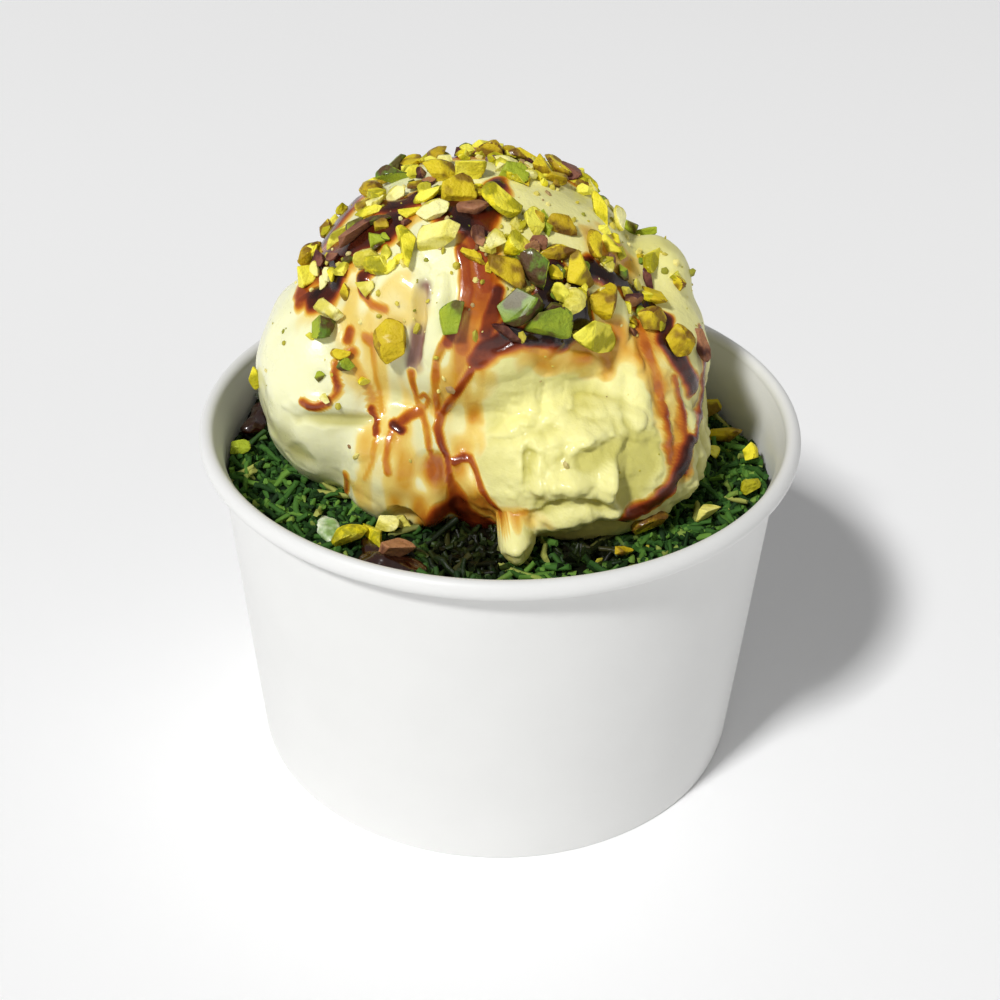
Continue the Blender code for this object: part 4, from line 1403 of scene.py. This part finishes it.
def nut_rows(spots, places, normals):
    """Place, outward and long directions, and the three sizes of each nut."""
    for (_, _, long_px, wide_px, angle), place, normal in zip(spots, places, normals):
        drawn = math.cos(math.radians(angle)) * right + math.sin(math.radians(angle)) * top
        along = drawn - normal * (drawn @ normal)
        size = NUT_FULLNESS * np.array([long_px, wide_px, wide_px * NUT_HEIGHT_SHARE]) * PICTURE_POINT
        yield place, normal, along / np.linalg.norm(along), np.maximum(size, LEAST_NUT)


def chip_spots(kind, draw):
    """Small chips of a kind, seen among the larger ones."""
    for (x, y), (half_width, half_height), count in CHIP_PATCHES.values():
        for _ in range(round(count * CHIP_SHARES[kind])):
            reach, turn = math.sqrt(draw.uniform()), draw.uniform(0, 2 * math.pi)
            length = draw.uniform(*CHIP_LENGTHS)
            spot = (x + half_width * reach * math.cos(turn), y + half_height * reach * math.sin(turn))
            chip = (*spot, length, length * draw.uniform(0.5, 0.9), draw.uniform(-90, 90))
            if not any(math.hypot((spot[0] - a) / c, (spot[1] - b) / d) < 1 for (a, b), (c, d) in BARE_CREAM):
                yield chip


def back_rows(count, draw):
    """The same for nuts behind the crown."""
    turn = draw.uniform(*BACK_TURNS, count)
    tilt = draw.triangular(*BACK_TILTS, count)
    for place in on_gelato(from_bearings(np.column_stack([turn, tilt]))):
        normal = outward_of(place[None])[0]
        along = np.cross(normal, draw.normal(size=3))
        length = draw.uniform(*BACK_LENGTHS) * MM
        size = np.array([length, length * draw.uniform(0.5, 0.8), length * draw.uniform(0.35, 0.6)])
        yield place, normal, along / np.linalg.norm(along), size


# %% [markdown]
# A line of sight meets the plain lobes, but the dressed gelato has relief and raised syrup.
# Each nut is therefore moved to the nearest place on the finished mesh, which a search tree
# finds quickly. A nut on the bed is kept off the cup's wall and set at a fixed height over
# the core, about where the strands end.

# %% Nuts sit on what carries them
BED_NUT_LIFT = 1.3 * MM
gelato_faces = [tuple(face.vertices) for face in gelato.data.polygons]
gelato_surface = BVHTree.FromPolygons(points_of(gelato.data).tolist(), gelato_faces)


def on_gelato(places):
    """The nearest place to each on the gelato as it is dressed, with its relief."""
    return np.array([gelato_surface.find_nearest(Vector(place))[0] for place in places])


def settle(place, length):
    """Moves a nut in from the cup's wall, and sets it above the bed."""
    place = place.copy()
    reach = length / 2 + 0.3 * MM
    too_far = np.hypot(*place[:2]) + reach - cup_inner_radius(place[2])
    if too_far > 0:
        place[:2] -= place[:2] / np.hypot(*place[:2]) * too_far
    place[2] = bed_height(place[None, :2])[0] + BED_NUT_LIFT
    return place


def nut_spots(kind, draw):
    """A mesh of points, one for each nut of a kind, with its directions and sizes."""
    spots = np.array([*NUTS[kind], *chip_spots(kind, draw)], float)
    places = on_gelato(seen_on_gelato(spots[:, :2]))
    tilted = outward_of(places) + NUT_TILT * draw.normal(size=places.shape)
    tilted /= np.linalg.norm(tilted, axis=1)[:, None]
    rows = list(nut_rows(spots, places, tilted))
    low = np.array(BED_NUTS[kind], float)
    upright = np.tile([0, 0, 1.0], (len(low), 1))
    for place, normal, along, size in nut_rows(low, seen_on_bed(low[:, :2]), upright):
        rows.append((settle(place, size[0]), normal, along, size))
    rows += back_rows(BACK_NUTS[kind], draw)
    places, normals, alongs, sizes = (np.array(column) for column in zip(*rows))
    mesh = bpy.data.meshes.new(f"nut_spots_{kind}")
    mesh.from_pydata((places + normals * sizes[:, 2:] * NUT_LIFT).tolist(), [], [])
    for name, vectors in (("outward", normals), ("along", alongs), ("size", sizes)):
        numbers = vectors.astype(np.float32).ravel()
        mesh.attributes.new(name, "FLOAT_VECTOR", "POINT").data.foreach_set("vector", numbers)
    keep_number(mesh, "tone", draw.uniform(0, 1, len(rows)))
    return mesh


# %% [markdown]
# The tree for the nuts is short. Each point picks a shape at random from a collection,
# turns it so that its top follows the surface and its length follows the direction seen,
# and stretches it to its three sizes. The shapes are deleted once the nuts are real.

# %% The nut tree
NUT_SHAPE_SEED = 71
shapes = bpy.data.collections.new("nut_shapes")
bpy.context.scene.collection.children.link(shapes)
shape_draw = np.random.default_rng(NUT_SHAPE_SEED)
for index in range(NUT_SHAPES):
    shapes.objects.link(bpy.data.objects.new(f"nut_shape_{index:02d}", nut_shape(index, shape_draw)))


def nut_tree():
    tree = GeometryTree("nuts", {"Shapes": "Collection", "Seed": "Int", "Material": "Material"})
    sockets = {"Collection": tree.input("Shapes"), "Separate Children": True, "Reset Children": True}
    chips = tree.add("GeometryNodeCollectionInfo", None, sockets)
    outward, along, size = (
        tree.add("GeometryNodeInputNamedAttribute", {"data_type": "FLOAT_VECTOR"}, {"Name": name})
        for name in ("outward", "along", "size")
    )
    upright = tree.add("FunctionNodeAlignRotationToVector", {"axis": "Z"}, {"Vector": outward})
    settings, sockets = {"axis": "X", "pivot_axis": "Z"}, {"Rotation": upright, "Vector": along}
    turned = tree.add("FunctionNodeAlignRotationToVector", settings, sockets)
    sockets = {4: 0, 5: NUT_SHAPES - 1, "Seed": tree.input("Seed")}
    pick = tree.add("FunctionNodeRandomValue", {"data_type": "INT"}, sockets, output=2)
    nuts = tree.instances(
        tree.input("Geometry"), chips, Pick_Instance=True, Instance_Index=pick, Rotation=turned, Scale=size
    )
    tree.finish(nuts)
    return tree


# %% Colours of the nuts
NUT_COLOURS = {
    "green": (colour(88, 62, 38), colour(98, 130, 38), colour(168, 182, 46)),
    "yellow": (colour(158, 152, 14), colour(236, 220, 30), colour(250, 242, 92)),
    "pale": (colour(206, 194, 56), colour(240, 230, 112), colour(247, 242, 170)),
    "olive": (colour(112, 76, 22), colour(190, 160, 20), colour(226, 204, 40)),
    "skin": (colour(64, 26, 26), colour(114, 64, 56), colour(172, 122, 84)),
}


def nut_finish(kind):
    """Flesh on the cuts, and darker, glossier skin between them."""
    dark, middle, light = NUT_COLOURS[kind]
    nut = Finish(
        f"nut_{kind}", IOR=1.47, Specular_IOR_Level=0.25, Subsurface_Weight=0.12,
        Subsurface_Radius=(1.0, 0.9, 0.3), Subsurface_Scale=0.8 * MM, Coat_Roughness=0.15,
    )  # fmt: skip
    tone = nut.attribute("tone")
    cut = nut.attribute("cut")
    patch = nut.noise(2.8 * MM, detail=2)
    grain = nut.noise(1.0 * MM, detail=3, rough=0.6)
    speck = nut.noise(0.4 * MM, detail=4, rough=0.65)
    flesh = nut.mix((tone * 0.4 + patch * 0.8).between(0.3, 0.85), middle, light)
    edge = nut.mix(patch.between(0.5, 0.4) * 0.8, flesh, dark)
    skin = nut.mix((grain * 0.5 + patch * 0.5).between(0.42, 0.62), dark, middle)
    tint = nut.mix(cut, skin, edge)
    speckled = nut.mix(speck.between(0.62, 0.74) * 0.4, tint, dark)
    fine = nut.bump(speck, 0.12 * MM, strength=0.7)
    relief = nut.bump(grain, 0.7 * MM, strength=0.9, under=fine)
    rough, coat = 0.46 + 0.2 * speck, 0.18 - 0.14 * cut
    return nut.paint(Base_Color=speckled, Roughness=rough, Coat_Weight=coat, Normal=relief)


# %% Growing the nuts
NUT_SPOT_SEED = 81
tree = nut_tree()
nut_draw = np.random.default_rng(NUT_SPOT_SEED)
for number, kind in enumerate(NUTS):
    settings = {"Shapes": shapes, "Seed": number, "Material": nut_finish(kind)}
    piece = grown(f"nuts_{kind}", tree, nut_spots(kind, nut_draw), settings)
    print(piece.name, len(piece.data.polygons), "faces")
for chip in list(shapes.objects):
    bpy.data.objects.remove(chip, do_unlink=True)
bpy.data.collections.remove(shapes)

# %% [markdown]
# ## The dark sauce and the dab of cream
#
# At the back left a thick dark sauce lies between the gelato and the wall. The solid model
# has it as a lens, and so has the scene, with a finer outline and a wet gloss. A dab of
# cream that fell on the pastry at the front left is a soft lump of the same kind.

# %% The sauce
SAUCE_ROUGH = (0.14, 0.4, 0.45)
POOL_SIDES = 90
POOL_TILTS = np.radians(np.linspace(-60, 85, 24))


def pool_mesh(name, middle, half_across, half_along, turn, height, seed, rough):
    """A soft lens on the bed, with an uneven outline."""
    outward, sideways = sauce_axes(turn)
    turns = np.linspace(0, 2 * math.pi, POOL_SIDES, endpoint=False)
    circle = half_across * np.cos(turns)[:, None] * outward + half_along * np.sin(turns)[:, None] * sideways
    ground = bed_height(middle[None])[0]
    rings = []
    for tilt in POOL_TILTS:
        flat = middle + circle * math.cos(tilt)
        spots = on_level(flat)
        flat = middle + (flat - middle) * (1 + rough * soft_noise(spots, 2.4 * MM, seed))[:, None]
        bumps = rough * math.sin(tilt) * soft_noise(spots, 1.2 * MM, seed + 1)
        level = ground + height * (0.35 + 0.65 * math.sin(tilt) + bumps)
        rings.append(np.column_stack([flat, level]))
    low, high = rings[0][:, 2].min() - 0.1 * MM, rings[-1][:, 2].mean() + 0.01 * MM
    return ringed_mesh(name, (*middle, low), np.array(rings), (*middle, high))


def sauce_finish():
    sauce = Finish("dark_sauce", IOR=1.45, Coat_Weight=0.8, Coat_Roughness=0.05)
    patch = sauce.noise(3 * MM, detail=3)
    tint = sauce.mix(patch, colour(24, 9, 5), colour(54, 22, 10))
    relief = sauce.bump(patch, 0.5 * MM, strength=0.6)
    return sauce.paint(Base_Color=tint, Roughness=0.12 + 0.2 * patch, Normal=relief)


sauce_look = sauce_finish()
for number, (name, (turn, radius, half_across, half_along, height)) in enumerate(SAUCES.items()):
    middle = radius * sauce_axes(turn)[0]
    seed, rough = 91 + 2 * number, SAUCE_ROUGH[number]
    mesh = pool_mesh(name, middle, half_across, half_along, turn, height, seed, rough)
    sauce = add_piece(name, mesh, sauce_look)
    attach(sauce, "root")
    if number == 0:
        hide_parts("sauce_pool")
    print(name, len(mesh.polygons), "faces")

# %% The dab of cream
DAB_SEEN = (328, 532)
DAB_SHAPE = {
    "half_across": 1.8 * MM, "half_along": 3.8 * MM, "turn": 20, "height": 1.6 * MM, "seed": 92, "rough": 0.2,
}  # fmt: skip


def dab_finish():
    dab = Finish(
        "cream_dab", IOR=1.4, Subsurface_Weight=0.2, Subsurface_Radius=(1.0, 0.9, 0.6), Subsurface_Scale=MM
    )
    foam = dab.noise(1.6 * MM, detail=3)
    tint = dab.mix(foam.between(0.35, 0.65), colour(140, 172, 104), colour(232, 240, 214))
    return dab.paint(Base_Color=tint, Roughness=0.15 + 0.2 * foam, Normal=dab.bump(foam, 0.25 * MM))


dab_middle = seen_on_bed([DAB_SEEN])[0, :2]
dab_mesh = pool_mesh("cream_dab", dab_middle, **DAB_SHAPE)
dab = add_piece("cream_dab", dab_mesh, dab_finish())
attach(dab, "root")
print("dab:", len(dab_mesh.polygons), "faces")

# %% [markdown]
# ## Nut dust
#
# Chopping leaves crumbs of 0.3 to 1.5 mm. They lie on the gelato's upper half and a few on
# the bed. This is the simplest tree: scatter points where a number on the mesh
# allows, and put a small faceted grain on each.


# %% The dust tree
DUST_STOPS = [
    (0.0, colour(120, 130, 30)),
    (0.5, colour(206, 190, 60)),
    (0.8, colour(238, 228, 150)),
    (1.0, colour(130, 80, 50)),
]
GRAIN_SIZES = ("Density", "Smallest", "Largest")
BED_DUST = 0.35
LOW_DUST = 0.12


def dust_tree():
    inputs = {**{size: "Float" for size in GRAIN_SIZES}, "Seed": "Int", "Material": "Material"}
    tree = GeometryTree("dust", inputs)
    allowed = tree.add("GeometryNodeInputNamedAttribute", {"data_type": "FLOAT"}, {"Name": "dust"})
    points = tree.scattered(tree.input("Density") * allowed, 17)
    grain = tree.add("GeometryNodeMeshIcoSphere", None, {"Radius": 0.5, "Subdivisions": 1})
    span = tree.input("Largest") - tree.input("Smallest")
    share = tree.random(0.0, 1.0, 11)
    size = tree.input("Smallest") + span * share * share
    turn = tree.vector(*(tree.random(0.0, 6.0, seed) for seed in (12, 13, 14)))
    stretch = tree.vector(size * tree.random(0.8, 1.8, 15), size, size * tree.random(0.5, 1.0, 16))
    tree.finish(tree.instances(points, grain, Rotation=turn, Scale=stretch))
    return tree


def dust_finish():
    dust = Finish("nut_dust", IOR=1.45, Roughness=0.6)
    tint = dust.add("ShaderNodeValToRGB", {"stops": DUST_STOPS}, {0: dust.attribute("tone")})
    return dust.paint(Base_Color=tint)


def dusted(mesh, amount):
    ground = mesh.copy()
    keep_number(ground, "dust", amount)
    return ground


tree = dust_tree()
heights = points_of(gelato.data)[:, 2]
on_crown = soft_step(heights, CUP_HEIGHT + 8 * MM, CUP_HEIGHT + 30 * MM)
on_crown += LOW_DUST * soft_step(heights, CUP_HEIGHT, CUP_HEIGHT + 4 * MM)
grains = {
    "Density": 90000.0, "Smallest": 0.3 * MM, "Largest": 1.5 * MM, "Seed": 5, "Material": dust_finish(),
}  # fmt: skip
crown_dust = grown("nut_dust_on_gelato", tree, dusted(gelato.data, on_crown), grains)
top_ground = bed_ground("top_ground_dust", on_top)
on_bed = np.full(len(top_ground.vertices), BED_DUST)
bed_dust = grown("nut_dust_on_bed", tree, dusted(top_ground, on_bed), {**grains, "Seed": 6})
print("dust:", len(crown_dust.data.polygons), "and", len(bed_dust.data.polygons), "faces")

# %% [markdown]
# ## The studio
#
# The photograph has a clean white ground and one soft light from the upper left, with
# plenty of white around it. A wide plane is the floor, an area light is the key, a faint one
# fills from the front right, and the world is pale and brightest near the horizon, which
# lights the upright sides more than what faces up.

# %% Floor
FLOOR_HALF = 3.0


def floor_finish():
    ground = Finish("floor", Roughness=0.6)
    cloud = ground.noise(0.3, detail=2)
    return ground.paint(Base_Color=ground.mix(cloud, colour(250, 250, 250), colour(253, 253, 253)))


floor_mesh = bpy.data.meshes.new("floor")
corners = [(x * FLOOR_HALF, y * FLOOR_HALF, 0) for x, y in ((-1, -1), (1, -1), (1, 1), (-1, 1))]
floor_mesh.from_pydata(corners, [], [(0, 1, 2, 3)])
floor = add_piece("floor", floor_mesh, floor_finish())
floor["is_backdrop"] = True


# %% Lights
WORLD_HIGH = 0.24
WORLD_LOW = 0.7
LIGHT_AIM = np.array([0, 0, 0.06])
LIGHTS = {
    "key": ((-2.6, -3.2, 4.8), 335, 0.8),
    "fill": ((0.9, -0.8, 0.5), 0.9, 0.6),
}


def area_light(name, place, power, size):
    """A square light that faces the cup."""
    light = bpy.data.lights.new(name, "AREA")
    light.energy = power
    light.size = size
    lamp = bpy.data.objects.new(name, light)
    aim = LIGHT_AIM - place
    aim = aim / np.linalg.norm(aim)
    side = np.cross(aim, (0, 0, 1))
    side /= np.linalg.norm(side)
    lamp_axes = np.column_stack([side, np.cross(side, aim), -aim, place])
    lamp.matrix_world = Matrix([*lamp_axes.tolist(), (0, 0, 0, 1)])
    bpy.context.scene.collection.objects.link(lamp)


for name, (place, power, size) in LIGHTS.items():
    area_light(name, place, power, size)
world = bpy.data.worlds.new("studio")
world.use_nodes = True
room = Graph(world.node_tree)
sky = room.add("ShaderNodeTexCoord", output="Generated")
level = room.add("ShaderNodeSeparateXYZ", None, {0: sky}, output="Z")
glow = WORLD_HIGH + (WORLD_LOW - WORLD_HIGH) * level.math("ABSOLUTE").between(0.3, 0.05)
background = world.node_tree.nodes["Background"]
background.inputs["Color"].default_value = (1, 1, 1, 1)
world.node_tree.links.new(glow.socket, background.inputs["Strength"])
bpy.context.scene.world = world
print("lights:", ", ".join(LIGHTS))

# %% [markdown]
#
# The dressed model has to keep the solid model's size. Its box is printed here, and the
# solid model's box was printed at the start.

# %% Sizes before and after
dressed_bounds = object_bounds()
boxes = {"solid": solid_bounds, "dressed": dressed_bounds}
{name: [[float(v) for v in corner] for corner in box] for name, box in boxes.items()}
print("dressed model:", [[round(float(value), 4) for value in corner] for corner in dressed_bounds])
